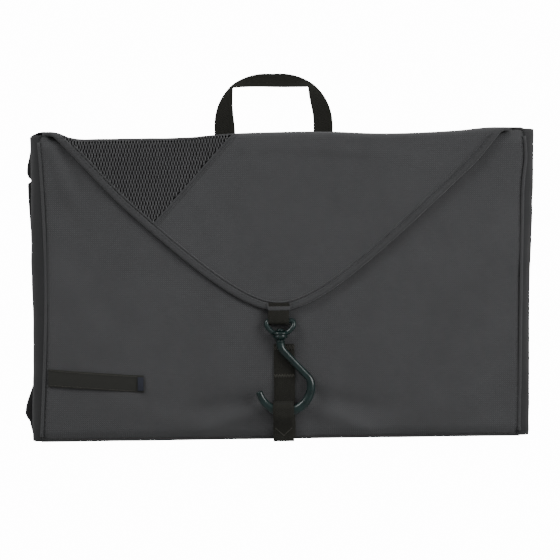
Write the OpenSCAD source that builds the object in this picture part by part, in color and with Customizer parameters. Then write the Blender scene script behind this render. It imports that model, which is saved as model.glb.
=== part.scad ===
// Hanging toiletry bag: two padded pocket sections folded face to face, an envelope flap over the
// front, a swivel hook on the flap's tip tucked into a webbing keeper, and a webbing carry handle.
// +Z is up, -Y is the front, and the origin is the middle of the bottom face. Millimetres.

/* [Body] */
// Width of the padded sections
body_w = 356; // [300:1:420]
// Height of the closed bag, without its handle
body_h = 220; // [200:1:260]
// Depth of the rear section
rear_d = 17; // [14:0.5:24]
// Depth of the front section
front_d = 17; // [14:0.5:24]
// Gap between the two pocket faces when the bag is shut
mid_gap = 8; // [8:0.5:14]
// Corner radius of the sections
corner_r = 6; // [4:0.5:12]

/* [Fabric] */
// Thickness of the outer fabric
shell_t = 0.8; // [0.5:0.1:1.2]
// Thickness of the foam sheets
foam_t = 1.4; // [1:0.1:2.2]
// Thickness of the lining
lining_t = 0.4; // [0.3:0.1:0.8]
// Thickness of the gussets and of the two fold strips
gusset_t = 1.4; // [1:0.1:2]
// Thickness of the mesh panels and the zip tapes
mesh_t = 0.8; // [0.5:0.1:1.2]
// Diameter of the piping on the front panel's side seams
piping_d = 2.4; // [1.6:0.1:3.2]
// How far the piping lies in from the side of the section
piping_inset = 7; // [4:0.5:12]

/* [Flap] */
// Drop of the flap's tip below the top of the bag
flap_drop = 127.5; // [110:0.5:140]
// Slope of the flap's straight edges
flap_slope = 0.98; // [0.85:0.01:1.2]
// Roundness of the flap's tip
flap_round = 42; // [25:1:60]
// Width of the binding along the flap's edge
binding_w = 5; // [4:0.5:7]
// Place along the top where the flap's mesh corner ends, left of the middle
mesh_top_x = 34; // [20:1:60]
// Place of the mesh corner's lowest point, left of the middle
mesh_apex_x = 90; // [75:1:105]

/* [Webbing] */
// Width of the webbing
web_w = 15; // [12:0.5:20]
// Thickness of the webbing
web_t = 1.2; // [1:0.1:1.6]
// Outer radius of the carry handle's arch
handle_r = 42; // [36:1:50]
// Width of the handle's legs
handle_leg_w = 13.5; // [11:0.5:15]
// Height of the handle's folded grip
grip_h = 8.5; // [7:0.5:11]
// Place of the handle's middle, from the middle of the bag
handle_x = -3.5; // [-10:0.5:10]
// Height of the front strap's upper end
strap_top = 68.5; // [62:0.5:72]
// Length of the label strip
label_l = 68; // [50:1:80]
// Width of the label strip
label_w = 12.5; // [10:0.5:15]
// Height of the label strip's lower edge
label_rise = 35; // [20:1:60]

/* [Hook] */
// Diameter of the hook's bar
hook_d = 5; // [4:0.1:5.6]
// Radius of the hook's bend, at the bar's middle
hook_r = 18.8; // [16:0.2:20]
// Radius of the hook's shoulder
shoulder_r = 12; // [10:0.5:14]
// Lean of the hook's straight stretch from vertical
hook_lean = 43; // [38:1:48]
// Diameter of the swivel pin
pin_d = 3.4; // [3:0.1:4]
// Radial clearance of the swivel pin in its barrel
pin_gap = 0.05; // [0.02:0.01:0.09]
// Radius of the swivel barrel
barrel_r = 4.5; // [4:0.1:4.8]
// Height of the swivel barrel
barrel_h = 6; // [4.5:0.5:7]
// Length of webbing between the flap's tip and the ring's bar
tab_drop = 7.5; // [6:0.5:10]

/* [Zips] */
// Width of a zip's two tapes together
tape_w = 16; // [14:1:22]
// Width of the zip's coil
coil_w = 3; // [2.6:0.1:3.6]
// Distance of the upper zip below the top
upper_zip_drop = 44; // [36:1:60]
// Height of the two lower zips above the bottom
lower_zip_rise = 38; // [34:1:60]
// Fabric left beside each end of a zip
zip_end = 12; // [8:1:20]
// Length of the zip pulls
pull_l = 22; // [16:1:26]

/* [Hidden] */
$fn = 48;
eps = 0.02;
clear = 0.3;
depth = rear_d + mid_gap + front_d;
y_back = depth / 2;
y_front = -depth / 2;
y_rear_face = y_back - rear_d;
y_front_face = y_front + front_d;
sect_z0 = gusset_t + clear;
sect_z1 = body_h - gusset_t - clear;
sect_h = sect_z1 - sect_z0;
inset = gusset_t + 0.2;
coil_h = 1;

// Flap: lining, foam and fabric, from the inside out, in front of the front panel.
y_flap_in = y_front - 0.5;
tab_t = 2 * web_t * 0.6;
tab_in = 13.5;
fill_t = max(foam_t, tab_t + 0.2);
y_flap_out = y_flap_in - lining_t - fill_t - shell_t;
tip_z = body_h - flap_drop;
tip_x = -1;
flap_top = sect_z1;
mesh_apex_z = tip_z + sqrt(pow(flap_round, 2) + pow(flap_slope * (mesh_apex_x + tip_x), 2)) - flap_round;

// Hook and ring: the bar lies in the tab's loop, and the barrel stands clear of the front panel.
bar_r = 1.5;
bar_half = web_w / 2 + 1.2;
loop_gap = 0.05;
y_bar = y_front - 0.45 - bar_r - loop_gap - web_t;
z_bar = tip_z - tab_drop;
y_hook = y_front - max(barrel_r + 0.5, web_t + 1 + hook_d / 2);
ring_t = 2.8;
ring_wall = 2.6;
cheek_r = 4;
chin_r = 5;
cheek_x = bar_half + 1.7;
cheek_w = 2.6;
barrel_top = z_bar - bar_r - 6;
barrel_bottom = barrel_top - barrel_h;
head_r = 2.7;
head_h = 1.4;
hook_x = tip_x + 0.5;
hook_w = hook_d / 2;

// The hook's centreline: straight down, over to the right, round the shoulder, and round the bend.
neck_r = 9;
neck_z = barrel_bottom - 2.2;
neck_end = [hook_x + neck_r * (1 - cos(hook_lean)), neck_z - neck_r * sin(hook_lean)];
bend_right = hook_x + 21.5;
shoulder_c_x = bend_right - shoulder_r;
shoulder_in_x = shoulder_c_x + shoulder_r * cos(hook_lean);
lean_l = (shoulder_in_x - neck_end[0]) / sin(hook_lean);
shoulder_in_z = neck_end[1] - lean_l * cos(hook_lean);
shoulder_c_z = shoulder_in_z - shoulder_r * sin(hook_lean);
bend_c = [bend_right - hook_r, shoulder_c_z];
bend_turn = 148;
bend_bottom = bend_c[1] - hook_r;

// Strap and keeper on the front panel.
strap_x = 2;
keeper_x = 1;
strap_bottom = sect_z0 + 0.5;
keeper_rise = hook_r - sqrt(pow(hook_r, 2) - pow(web_w / 2 + abs(bend_c[0] - keeper_x), 2));
keeper_in_top = bend_bottom + hook_w + keeper_rise + 0.5;
keeper_top = keeper_in_top + 2.5;
tack_t = 0.4;
y_strap = y_front - web_t;
y_keeper_in = y_hook - hook_w - 0.4;

// Handle: hinged behind the top fold, above its stitched ends.
y_handle = y_back + clear + web_t / 2;
handle_z = body_h + 0.2;
anchor_l = 22;
anchor_top = body_h - 1.2;

// Zips.
upper_zip_z = body_h - upper_zip_drop;
lower_zip_z = lower_zip_rise;
upper_zip_half = body_w / 2 - zip_end;
divider_t = 1.2;
lower_zip_in = divider_t / 2 + zip_end;
lower_zip_out = body_w / 2 - zip_end;
slider_l = 9;
slider_h = 8;
slider_gap = 0.25;
slider_t = 1;
post_r = 1.2;
pull_t = 0.9;
pull_gap = 0.06;
pull_w = 6.4;

fabric_c = [0.24, 0.245, 0.255];
gusset_c = [0.2, 0.2, 0.21];
lining_c = [0.16, 0.165, 0.17];
mesh_c = [0.12, 0.12, 0.125];
web_c = [0.11, 0.11, 0.095];
hook_c = [0.08, 0.13, 0.125];
foam_c = [0.75, 0.75, 0.72];
slider_c = [0.1, 0.1, 0.1];

// ---- building blocks ----

module block(lo, hi) {
    translate(lo) cube(hi - lo);
}

// A flat outline in X and Z, made solid from y0 back to y1.
module upright(y0, y1) {
    translate([0, y1, 0]) rotate([90, 0, 0]) linear_extrude(y1 - y0) children();
}

// A rectangle with round corners.
module rounded(x0, x1, z0, z1, r) {
    translate([x0 + r, z0]) square([x1 - x0 - 2 * r, z1 - z0]);
    translate([x0, z0 + r]) square([x1 - x0, z1 - z0 - 2 * r]);
    for (x = [x0 + r, x1 - r], z = [z0 + r, z1 - r]) translate([x, z]) circle(r);
}

module section_outline(less = 0) {
    rounded(-body_w / 2 + less, body_w / 2 - less, sect_z0 + less, sect_z1 - less,
        max(corner_r - less, 1));
}

module section_wall() {
    difference() {
        section_outline();
        section_outline(gusset_t);
    }
}

// The part of the section's outline between two heights and two sides.
module section_part(z0, z1, x0 = -body_w / 2, x1 = body_w / 2) {
    intersection() {
        section_outline();
        translate([x0, z0]) square([x1 - x0, z1 - z0]);
    }
}

// ---- rear section ----

module rear_panel() {
    color(fabric_c) upright(y_back - shell_t, y_back) section_outline();
}

module rear_foam() {
    color(foam_c) upright(y_back - shell_t - foam_t, y_back - shell_t) section_outline(inset);
}

module rear_lining() {
    y1 = y_back - shell_t - foam_t;
    color(lining_c) upright(y1 - lining_t, y1) section_outline(inset);
}

module rear_gusset() {
    color(gusset_c) upright(y_rear_face + mesh_t, y_back - shell_t) section_wall();
}

module upper_band() {
    color(fabric_c) upright(y_rear_face, y_rear_face + mesh_t) difference() {
        section_part(upper_zip_z - tape_w / 2, sect_z1);
        translate([-upper_zip_half, upper_zip_z - tape_w / 2]) square([2 * upper_zip_half, tape_w]);
    }
}

module upper_mesh() {
    color(mesh_c) upright(y_rear_face, y_rear_face + mesh_t)
        section_part(sect_z0, upper_zip_z - tape_w / 2);
}

// ---- front section ----

module front_panel() {
    color(fabric_c) upright(y_front, y_front + shell_t) section_outline();
}

module front_foam() {
    y0 = y_front + shell_t;
    color(foam_c) upright(y0, y0 + foam_t) section_outline(inset);
}

module front_lining() {
    y0 = y_front + shell_t + foam_t;
    color(lining_c) upright(y0, y0 + lining_t) section_outline(inset);
}

module front_gusset() {
    color(gusset_c) upright(y_front + shell_t, y_front_face - mesh_t) section_wall();
}

// Two welts along the side seams, half their thickness proud of the panel.
module front_piping() {
    color(gusset_c) for (side = [-1, 1]) {
        x = side * (body_w / 2 - piping_inset);
        intersection() {
            translate([x, y_front, sect_z0]) cylinder(d = piping_d, h = sect_h);
            block([-body_w, y_front - piping_d, 0], [body_w, y_front, body_h]);
        }
    }
}

module lower_band() {
    color(fabric_c) upright(y_front_face - mesh_t, y_front_face) difference() {
        union() {
            section_part(sect_z0, lower_zip_z + tape_w / 2);
            section_part(lower_zip_z, sect_z1, -lower_zip_in, lower_zip_in);
        }
        for (side = [-1, 1])
            translate([side > 0 ? lower_zip_in : -lower_zip_out, lower_zip_z - tape_w / 2])
                square([lower_zip_out - lower_zip_in, tape_w]);
    }
}

module lower_mesh(side) {
    x0 = side > 0 ? lower_zip_in : -body_w / 2;
    color(mesh_c) upright(y_front_face - mesh_t, y_front_face)
        section_part(lower_zip_z + tape_w / 2, sect_z1, x0, x0 + body_w / 2 - lower_zip_in);
}

module pocket_divider() {
    color(lining_c) block(
        [-divider_t / 2, y_front + shell_t + foam_t + lining_t, sect_z0 + gusset_t],
        [divider_t / 2, y_front_face - mesh_t, sect_z1 - gusset_t]
    );
}

// ---- zips: drawn for a face that looks to -Y, and turned about Z for one that looks to +Y ----

module zip_tape(x0, x1) {
    color(web_c) block([x0, 0, -tape_w / 2], [x1, mesh_t, tape_w / 2]);
}

module zip_coil(x0, x1) {
    color(web_c) block([x0, -coil_h, -coil_w / 2], [x1, 0, coil_w / 2]);
}

module zip_slider() {
    y_in = -coil_h - slider_gap;
    y_post = y_in - slider_t;
    y_head = y_post - pull_t - 2 * pull_gap;
    color(slider_c) {
        block([-slider_l / 2, y_post, -slider_h / 2], [slider_l / 2, y_in, slider_h / 2]);
        for (side = [-1, 1])
            translate([0, 0, side * (slider_h / 2 - 0.6)])
                block([-slider_l / 2, y_in - eps, -0.6], [slider_l / 2, -slider_gap, 0.6]);
        translate([0, y_post + eps, 0]) rotate([90, 0, 0])
            cylinder(r = post_r, h = y_post - y_head + 2 * eps);
        translate([0, y_head, 0]) rotate([90, 0, 0]) cylinder(r = post_r + 0.7, h = 0.35);
    }
}

module zip_pull() {
    y1 = -coil_h - slider_gap - slider_t - pull_gap;
    color(slider_c) upright(y1 - pull_t, y1) difference() {
        union() {
            circle(d = pull_w);
            translate([0, -pull_l]) circle(d = pull_w);
            translate([-pull_w / 2, -pull_l]) square([pull_w, pull_l]);
        }
        circle(post_r + pull_gap);
        translate([0, -pull_l]) circle(1.6);
    }
}

module on_rear(x, z) {
    translate([x, y_rear_face, z]) children();
}

module on_front(x, z) {
    translate([x, y_front_face, z]) rotate([0, 0, 180]) children();
}

upper_slider_x = upper_zip_half - slider_l;
lower_slider_x = lower_zip_out - slider_l;

module upper_zip_tape() {
    on_rear(0, upper_zip_z) zip_tape(-upper_zip_half, upper_zip_half);
}

module upper_zip_coil() {
    on_rear(0, upper_zip_z) zip_coil(-upper_zip_half, upper_zip_half);
}

module upper_zip_slider() {
    on_rear(upper_slider_x, upper_zip_z) zip_slider();
}

module upper_zip_pull() {
    on_rear(upper_slider_x, upper_zip_z) zip_pull();
}

module left_zip_tape() {
    on_front(0, lower_zip_z) zip_tape(lower_zip_in, lower_zip_out);
}

module left_zip_coil() {
    on_front(0, lower_zip_z) zip_coil(lower_zip_in, lower_zip_out);
}

module left_zip_slider() {
    on_front(-lower_slider_x, lower_zip_z) zip_slider();
}

module left_zip_pull() {
    on_front(-lower_slider_x, lower_zip_z) zip_pull();
}

module right_zip_tape() {
    on_front(0, lower_zip_z) zip_tape(-lower_zip_out, -lower_zip_in);
}

module right_zip_coil() {
    on_front(0, lower_zip_z) zip_coil(-lower_zip_out, -lower_zip_in);
}

module right_zip_slider() {
    on_front(lower_slider_x, lower_zip_z) zip_slider();
}

module right_zip_pull() {
    on_front(lower_slider_x, lower_zip_z) zip_pull();
}

// ---- fold strips and handle ----

module top_fold_strip() {
    color(fabric_c) block([-body_w / 2, y_flap_out, body_h - gusset_t], [body_w / 2, y_back, body_h]);
}

module base_fold_strip() {
    color(fabric_c) block([-body_w / 2, y_front, 0], [body_w / 2, y_back, gusset_t]);
}

module handle_anchors() {
    leg = handle_r - handle_leg_w / 2;
    color(web_c) for (side = [-1, 1])
        block([handle_x + side * leg - handle_leg_w / 2, y_back, anchor_top - anchor_l],
            [handle_x + side * leg + handle_leg_w / 2, y_back + web_t, anchor_top]);
}

// The webbing narrows at the two upper corners, where it is folded over to make the grip.
module handle_opening() {
    half = handle_r - handle_leg_w;
    top = handle_r - grip_h;
    polygon([
        [-half, -1], [-half + 1.5, 0.66 * top], [-0.8 * half, 0.93 * top], [-0.7 * half, top],
        [0.7 * half, top], [0.8 * half, 0.93 * top], [half - 1.5, 0.66 * top], [half, -1]
    ]);
}

module carry_handle() {
    color(web_c) translate([handle_x, 0, handle_z])
        upright(y_handle - web_t / 2, y_handle + web_t / 2) difference() {
            circle(handle_r, $fn = 96);
            translate([-2 * handle_r, -2 * handle_r]) square([4 * handle_r, 2 * handle_r]);
            handle_opening();
        }
}

// ---- flap ----

function flap_z(x) =
    tip_z + sqrt(pow(flap_round, 2) + pow(flap_slope * (x - tip_x), 2)) - flap_round;

// The envelope's curved edge, drawn on past the top so that an inset copy stays open there.
module flap_edge(less = 0) {
    reach = body_w / 2 + 20;
    steps = 60;
    intersection() {
        offset(delta = -less) polygon([
            for (i = [0:steps]) let (x = -reach + 2 * reach * i / steps) [x, flap_z(x)],
            [reach, body_h + 80],
            [-reach, body_h + 80]
        ]);
        translate([-body_w / 2, 0]) square([body_w, flap_top]);
    }
}

// Everything to the left of the seam between the mesh corner and the fabric.
module mesh_side() {
    run = mesh_apex_x - mesh_top_x;
    rise = flap_top - mesh_apex_z;
    polygon([
        [-mesh_apex_x - 3 * run, mesh_apex_z - 3 * rise],
        [-mesh_top_x + run, flap_top + rise],
        [-body_w, flap_top + rise],
        [-body_w, mesh_apex_z - 3 * rise]
    ]);
}

module tab_place(less = 0) {
    translate([tip_x - web_w / 2 - less, 0]) square([web_w + 2 * less, tip_z + tab_in + 0.5 + less]);
}

module flap_panel() {
    color(fabric_c) upright(y_flap_out, y_flap_out + shell_t) difference() {
        flap_edge(binding_w);
        mesh_side();
    }
}

module flap_mesh() {
    color(mesh_c) upright(y_flap_out, y_flap_out + shell_t) intersection() {
        flap_edge(binding_w);
        mesh_side();
    }
}

module flap_foam() {
    color(foam_c) upright(y_flap_out + shell_t, y_flap_in - lining_t) difference() {
        flap_edge(binding_w);
        mesh_side();
        tab_place(0.2);
    }
}

module flap_lining() {
    color(lining_c) upright(y_flap_in - lining_t, y_flap_in) flap_edge(binding_w);
}

module flap_binding() {
    color(gusset_c) upright(y_flap_out, y_flap_in) difference() {
        flap_edge();
        flap_edge(binding_w);
        tab_place(0.2);
    }
}

// A webbing loop round the ring's bar, its two ends held between the flap's layers.
module hook_tab() {
    y_mid = y_flap_in - lining_t - fill_t / 2;
    color(web_c) translate([tip_x - web_w / 2, 0, 0]) difference() {
        union() {
            hull() {
                translate([0, y_bar, z_bar]) rotate([0, 90, 0])
                    cylinder(r = bar_r + loop_gap + web_t, h = web_w, $fn = 32);
                block([0, y_mid - tab_t / 2, tip_z - 1], [web_w, y_mid + tab_t / 2, tip_z]);
            }
            block([0, y_mid - tab_t / 2, tip_z - 0.5], [web_w, y_mid + tab_t / 2, tip_z + tab_in]);
        }
        translate([-1, y_bar, z_bar]) rotate([0, 90, 0])
            cylinder(r = bar_r + loop_gap, h = web_w + 2);
    }
}

// ---- ring and hook ----

module ring_outline(less) {
    hull() {
        translate([-bar_half + 1, z_bar - 2.5]) circle(cheek_r - less);
        translate([bar_half - 1, z_bar - 2.5]) circle(cheek_r - less);
        translate([0, barrel_top + 3]) circle(chin_r - less);
    }
}

// The bar and its two cheeks, and the barrel that the hook's pin turns in.
module swivel_ring() {
    color(hook_c) difference() {
        union() {
            upright(y_hook - ring_t / 2, y_hook + ring_t / 2) difference() {
                translate([hook_x, 0]) ring_outline(0);
                translate([hook_x, 0]) ring_outline(ring_wall);
                translate([-bar_half * 2, z_bar - bar_r]) square([bar_half * 4, 20]);
            }
            for (side = [-1, 1]) hull() {
                translate([hook_x + side * cheek_x, y_hook, z_bar - bar_r])
                    rotate([90, 0, 0]) cylinder(d = cheek_w, h = ring_t, center = true);
                translate([hook_x + side * cheek_x - cheek_w / 2, y_bar, z_bar]) rotate([0, 90, 0])
                    cylinder(r = bar_r, h = cheek_w);
            }
            translate([hook_x - bar_half - 1, y_bar, z_bar]) rotate([0, 90, 0])
                cylinder(r = bar_r, h = 2 * bar_half + 2);
            translate([hook_x, y_hook, barrel_bottom]) cylinder(r = barrel_r, h = barrel_h);
        }
        translate([hook_x, y_hook, barrel_bottom - 1]) cylinder(d = pin_d + 2 * pin_gap, h = barrel_h + 2);
        translate([hook_x, y_hook, barrel_top]) cylinder(r = head_r + clear, h = head_h + 1.2);
    }
}

// Points along an arc in X and Z.
function arc(c, r, from, to, n) =
    [for (i = [0:n]) let (a = from + (to - from) * i / n) [c[0] + r * cos(a), c[1] + r * sin(a)]];

hook_line = concat(
    [[hook_x, barrel_bottom - clear], [hook_x, neck_z + 1]],
    arc([hook_x + neck_r, neck_z], neck_r, 180, 180 + hook_lean, 5),
    arc([shoulder_c_x, shoulder_c_z], shoulder_r, hook_lean, 0, 6),
    arc(bend_c, hook_r, -8, -bend_turn, 18)
);

// A round bar of 16 sides swept along the hook's line, with a rounded tip.
module swing_hook() {
    sides = 16;
    last = len(hook_line) - 1;
    heading = [for (i = [0:last])
        let (d = hook_line[min(i + 1, last)] - hook_line[max(i - 1, 0)]) d / norm(d)];
    tip = [for (a = [35, 65]) [hook_line[last] + heading[last] * hook_w * sin(a), cos(a)]];
    centres = concat(hook_line, [for (t = tip) t[0]]);
    shares = concat([for (i = [0:last]) 1], [for (t = tip) t[1]]);
    headings = concat(heading, [for (t = tip) heading[last]]);
    rings = len(centres);
    points = [for (i = [0:rings - 1], k = [0:sides - 1])
        let (a = 360 * k / sides, out = hook_w * shares[i] * cos(a), side = hook_w * shares[i] * sin(a))
        [centres[i][0] + headings[i][1] * out, y_hook + side, centres[i][1] - headings[i][0] * out]];
    walls = [for (i = [0:rings - 2], k = [0:sides - 1])
        let (n = (k + 1) % sides, a = i * sides, b = a + sides)
        each [[a + k, a + n, b + n], [a + k, b + n, b + k]]];
    caps = [[for (k = [sides - 1:-1:0]) k], [for (k = [0:sides - 1]) (rings - 1) * sides + k]];
    color(hook_c) polyhedron(points, concat(walls, caps), convexity = 6);
}

// The hook's pin through the barrel, with the head that keeps it there.
module swivel_pin() {
    color(hook_c) translate([hook_x, y_hook, 0]) {
        translate([0, 0, barrel_bottom - clear]) cylinder(d = pin_d, h = barrel_h + 2 * clear);
        translate([0, 0, barrel_top + clear]) cylinder(r = head_r, h = head_h);
    }
}

// ---- webbing on the front panel ----

module front_strap() {
    color(web_c) block([strap_x - web_w / 2, y_strap, strap_bottom],
        [strap_x + web_w / 2, y_front, strap_top]);
}

// Stitched down above and below the hook's bend, and standing clear of it between.
module keeper_loop() {
    z_low = strap_bottom + 1;
    z_up = keeper_top;
    z_in0 = bend_bottom - hook_w - 1;
    z_in1 = keeper_in_top;
    color(web_c) translate([keeper_x - web_w / 2, 0, 0]) rotate([90, 0, 90]) linear_extrude(web_w)
        polygon([
            [y_strap, z_low], [y_strap, z_low + 4], [y_keeper_in, z_in0], [y_keeper_in, z_in1],
            [y_strap, z_up - 1.2], [y_strap, z_up], [y_strap - web_t, z_up],
            [y_keeper_in - web_t, z_in1 + 0.7], [y_keeper_in - web_t, z_in0 - 0.7],
            [y_strap - web_t, z_low + 2.6], [y_strap - web_t, z_low]
        ]);
}

module strap_bartacks() {
    color(web_c) for (z = [strap_top - 2, (strap_top + keeper_top) / 2])
        block([strap_x - web_w / 2 + 0.5, y_strap - tack_t, z - 0.9],
            [strap_x + web_w / 2 - 0.5, y_strap, z + 0.9]);
}

module side_label() {
    x0 = -body_w / 2 + piping_inset + piping_d / 2 + 0.2;
    color(web_c) block([x0, y_front - web_t, label_rise], [x0 + label_l, y_front, label_rise + label_w]);
}

// ---- nodes ----

rear_panel();
rear_foam();
rear_lining();
rear_gusset();
upper_band();
upper_mesh();
upper_zip_tape();
upper_zip_coil();
upper_zip_slider();
upper_zip_pull();
handle_anchors();
carry_handle();
top_fold_strip();
base_fold_strip();
flap_panel();
flap_mesh();
flap_foam();
flap_lining();
flap_binding();
hook_tab();
swivel_ring();
swivel_pin();
swing_hook();
front_panel();
front_foam();
front_lining();
front_gusset();
front_piping();
front_strap();
keeper_loop();
strap_bartacks();
side_label();
lower_band();
lower_mesh(-1);  // lower_mesh_left
lower_mesh(1);  // lower_mesh_right
pocket_divider();
left_zip_tape();
left_zip_coil();
left_zip_slider();
left_zip_pull();
right_zip_tape();
right_zip_coil();
right_zip_slider();
right_zip_pull();
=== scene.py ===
"""Hanging toiletry bag: cloth, webbing, mesh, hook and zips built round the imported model."""
import math

import bpy
import bmesh
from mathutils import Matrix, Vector, noise


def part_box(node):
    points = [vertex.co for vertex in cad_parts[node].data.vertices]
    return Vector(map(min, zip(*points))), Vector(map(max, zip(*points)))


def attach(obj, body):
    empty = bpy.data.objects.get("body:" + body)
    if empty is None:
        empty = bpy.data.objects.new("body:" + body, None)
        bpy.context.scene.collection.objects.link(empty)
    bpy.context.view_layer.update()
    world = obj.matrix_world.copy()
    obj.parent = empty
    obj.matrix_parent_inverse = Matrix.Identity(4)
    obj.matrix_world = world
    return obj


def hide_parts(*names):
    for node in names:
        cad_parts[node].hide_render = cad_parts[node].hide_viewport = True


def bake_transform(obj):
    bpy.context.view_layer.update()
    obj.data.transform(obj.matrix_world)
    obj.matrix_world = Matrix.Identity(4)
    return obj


bl_info = {
    "name": "Hanging Toiletry Bag",
    "version": (1, 0, 0),
    "blender": (4, 5, 0),
    "location": "3D View > Sidebar > Toiletry Bag",
    "description": "Builds the sewn cloth, webbing, mesh corner, swivel hook and zips of a hanging toiletry bag",
    "category": "Add Mesh",
}

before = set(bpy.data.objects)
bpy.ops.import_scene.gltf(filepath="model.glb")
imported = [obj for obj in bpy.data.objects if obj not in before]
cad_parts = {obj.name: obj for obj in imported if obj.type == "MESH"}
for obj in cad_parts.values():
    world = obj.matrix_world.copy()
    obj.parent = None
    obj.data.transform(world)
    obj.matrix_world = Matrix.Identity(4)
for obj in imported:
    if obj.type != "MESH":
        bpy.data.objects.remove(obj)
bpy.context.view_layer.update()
MM = 0.001


def node_mm(node):
    """A CAD node's lowest and highest corners, in millimetres."""
    low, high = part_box(node)
    return [v / MM for v in low], [v / MM for v in high]


FRONT_LOW, FRONT_HIGH = node_mm("front_panel")
REAR_LOW, REAR_HIGH = node_mm("rear_panel")
FLAP_LOW, CROWN_HIGH = node_mm("flap_binding")[0], node_mm("top_fold_strip")[1]
STRAP_LOW, STRAP_HIGH = node_mm("front_strap")
KEEPER_LOW, KEEPER_HIGH = node_mm("keeper_loop")
PIN_LOW, PIN_HIGH = node_mm("swivel_pin")
HANDLE_LOW, HANDLE_HIGH = node_mm("carry_handle")

Y_FRONT, Y_BACK = FRONT_LOW[1], REAR_HIGH[1]
Y_POCKET_FRONT, Y_POCKET_REAR = node_mm("front_gusset")[1][1], node_mm("rear_gusset")[0][1]
TOP, FOLD_Y = CROWN_HIGH[2], FLAP_LOW[1]
PIN_X, PIN_Y = (PIN_LOW[0] + PIN_HIGH[0]) / 2, (PIN_LOW[1] + PIN_HIGH[1]) / 2
TIP_X, TIP_Z = -1.0, FLAP_LOW[2]
STRAP_X = (STRAP_LOW[0] + STRAP_HIGH[0]) / 2
KEEPER_X = (KEEPER_LOW[0] + KEEPER_HIGH[0]) / 2
HANDLE_X = (HANDLE_LOW[0] + HANDLE_HIGH[0]) / 2

# sewing sizes, in millimetres
CLOTH_T, BAND_T = 0.8, 1.0
FOLD_R, FLAP_TURN = 3.4, 5.0
WEB_WIDTH, HANDLE_WEB_WIDTH, WEB_EDGE = 15.0, 13.5, 0.25
GUSSET_LOW, GUSSET_HIGH = 1.6, 218.4
POCKET_TOP = 210.5
UPPER_PULL_Z, LOWER_PULLS_Z = (148, 182), (7, 45)
NET_TOP_X, NET_LOW_X = -32.0, -94.0
# start and end points given for the cloth's bend between two bodies; only their presence is read: a piece given them
# keeps its place instead of hanging on a body
FLAP_BEND = ((0, -19.5, TOP), (0, FOLD_Y, TOP - 9))
CROWN_BEND = ((0, Y_BACK, TOP - 12), (0, 12, TOP))


# ---------------------------------------------------------------- settings


class BagCloth(bpy.types.PropertyGroup):
    thread_pitch: bpy.props.FloatProperty(
        name="Thread pitch", description="Distance between threads of the outer cloth", default=0.0015, unit="LENGTH")
    webbing_pitch: bpy.props.FloatProperty(
        name="Webbing rib pitch", description="Distance between the ribs of the webbing", default=0.0013, unit="LENGTH")
    wrinkle_depth: bpy.props.FloatProperty(
        name="Wrinkle depth", description="Height of the soft folds in the panels", default=0.0015, unit="LENGTH")
    binding_width: bpy.props.FloatProperty(
        name="Binding width", description="Width of the bound edge of the flap", default=0.005, unit="LENGTH")
    shell_colour: bpy.props.FloatVectorProperty(
        name="Shell", description="Colour of the outer cloth", default=(0.0318, 0.0323, 0.0337), subtype="COLOR")
    gusset_colour: bpy.props.FloatVectorProperty(
        name="Gusset", description="Colour of the side gussets", default=(0.0140, 0.0143, 0.0151), subtype="COLOR")
    webbing_colour: bpy.props.FloatVectorProperty(
        name="Webbing", description="Colour of the straps and the handle", default=(0.0046, 0.0046, 0.0025),
        subtype="COLOR")
    lining_colour: bpy.props.FloatVectorProperty(
        name="Lining", description="Colour of the lining", default=(0.0030, 0.0030, 0.0033), subtype="COLOR")
    label_colour: bpy.props.FloatVectorProperty(
        name="Label", description="Colour of the woven label strip", default=(0.0066, 0.0069, 0.0050), subtype="COLOR")


class BagNet(bpy.types.PropertyGroup):
    pitch: bpy.props.FloatProperty(
        name="Hole pitch", description="Distance between holes along a row", default=0.0021, unit="LENGTH")
    row: bpy.props.FloatProperty(
        name="Row height", description="Height from one row of holes to the next", default=0.00315, unit="LENGTH")
    strand: bpy.props.FloatProperty(
        name="Strand width", description="Width of a knitted strand", default=0.00041, unit="LENGTH")
    colour: bpy.props.FloatVectorProperty(
        name="Net", description="Colour of the knitted net", default=(0.066, 0.0665, 0.0688), subtype="COLOR")


class BagStitch(bpy.types.PropertyGroup):
    length: bpy.props.FloatProperty(
        name="Stitch length", description="Length of one stitch", default=0.0021, unit="LENGTH")
    thickness: bpy.props.FloatProperty(
        name="Thread thickness", description="Thickness of the sewing thread", default=0.00038, unit="LENGTH")
    colour: bpy.props.FloatVectorProperty(
        name="Thread", description="Colour of the sewing thread", default=(0.024, 0.0245, 0.0255), subtype="COLOR")


class BagHook(bpy.types.PropertyGroup):
    neck: bpy.props.FloatProperty(
        name="Neck", description="Thickness of the hook's bar at its neck", default=0.0057, unit="LENGTH")
    bend: bpy.props.FloatProperty(
        name="Bend", description="Thickness of the hook's bar in its bend", default=0.0065, unit="LENGTH")
    tip: bpy.props.FloatProperty(
        name="Tip", description="Thickness of the hook's bar at its tip", default=0.0046, unit="LENGTH")
    colour: bpy.props.FloatVectorProperty(
        name="Moulding", description="Colour of the moulded hook and ring", default=(0.0030, 0.0100, 0.0094),
        subtype="COLOR")


class BagZip(bpy.types.PropertyGroup):
    tooth_pitch: bpy.props.FloatProperty(
        name="Tooth pitch", description="Distance between turns of the zip's coil", default=0.0014, unit="LENGTH")
    colour: bpy.props.FloatVectorProperty(
        name="Tape", description="Colour of the zip tapes and coils", default=(0.012, 0.012, 0.012), subtype="COLOR")


class BagStage(bpy.types.PropertyGroup):
    floor_drop: bpy.props.FloatProperty(
        name="Floor drop", description="Distance from the bag's bottom down to the floor", default=0.36, unit="LENGTH")
    ambient: bpy.props.FloatProperty(
        name="Ambient", description="Strength of the light from all round", default=0.55)
    key_power: bpy.props.FloatProperty(
        name="Key light", description="Power of the key light", default=36.0, unit="POWER")
    fill_power: bpy.props.FloatProperty(
        name="Fill light", description="Power of the fill light", default=39.0, unit="POWER")


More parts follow.
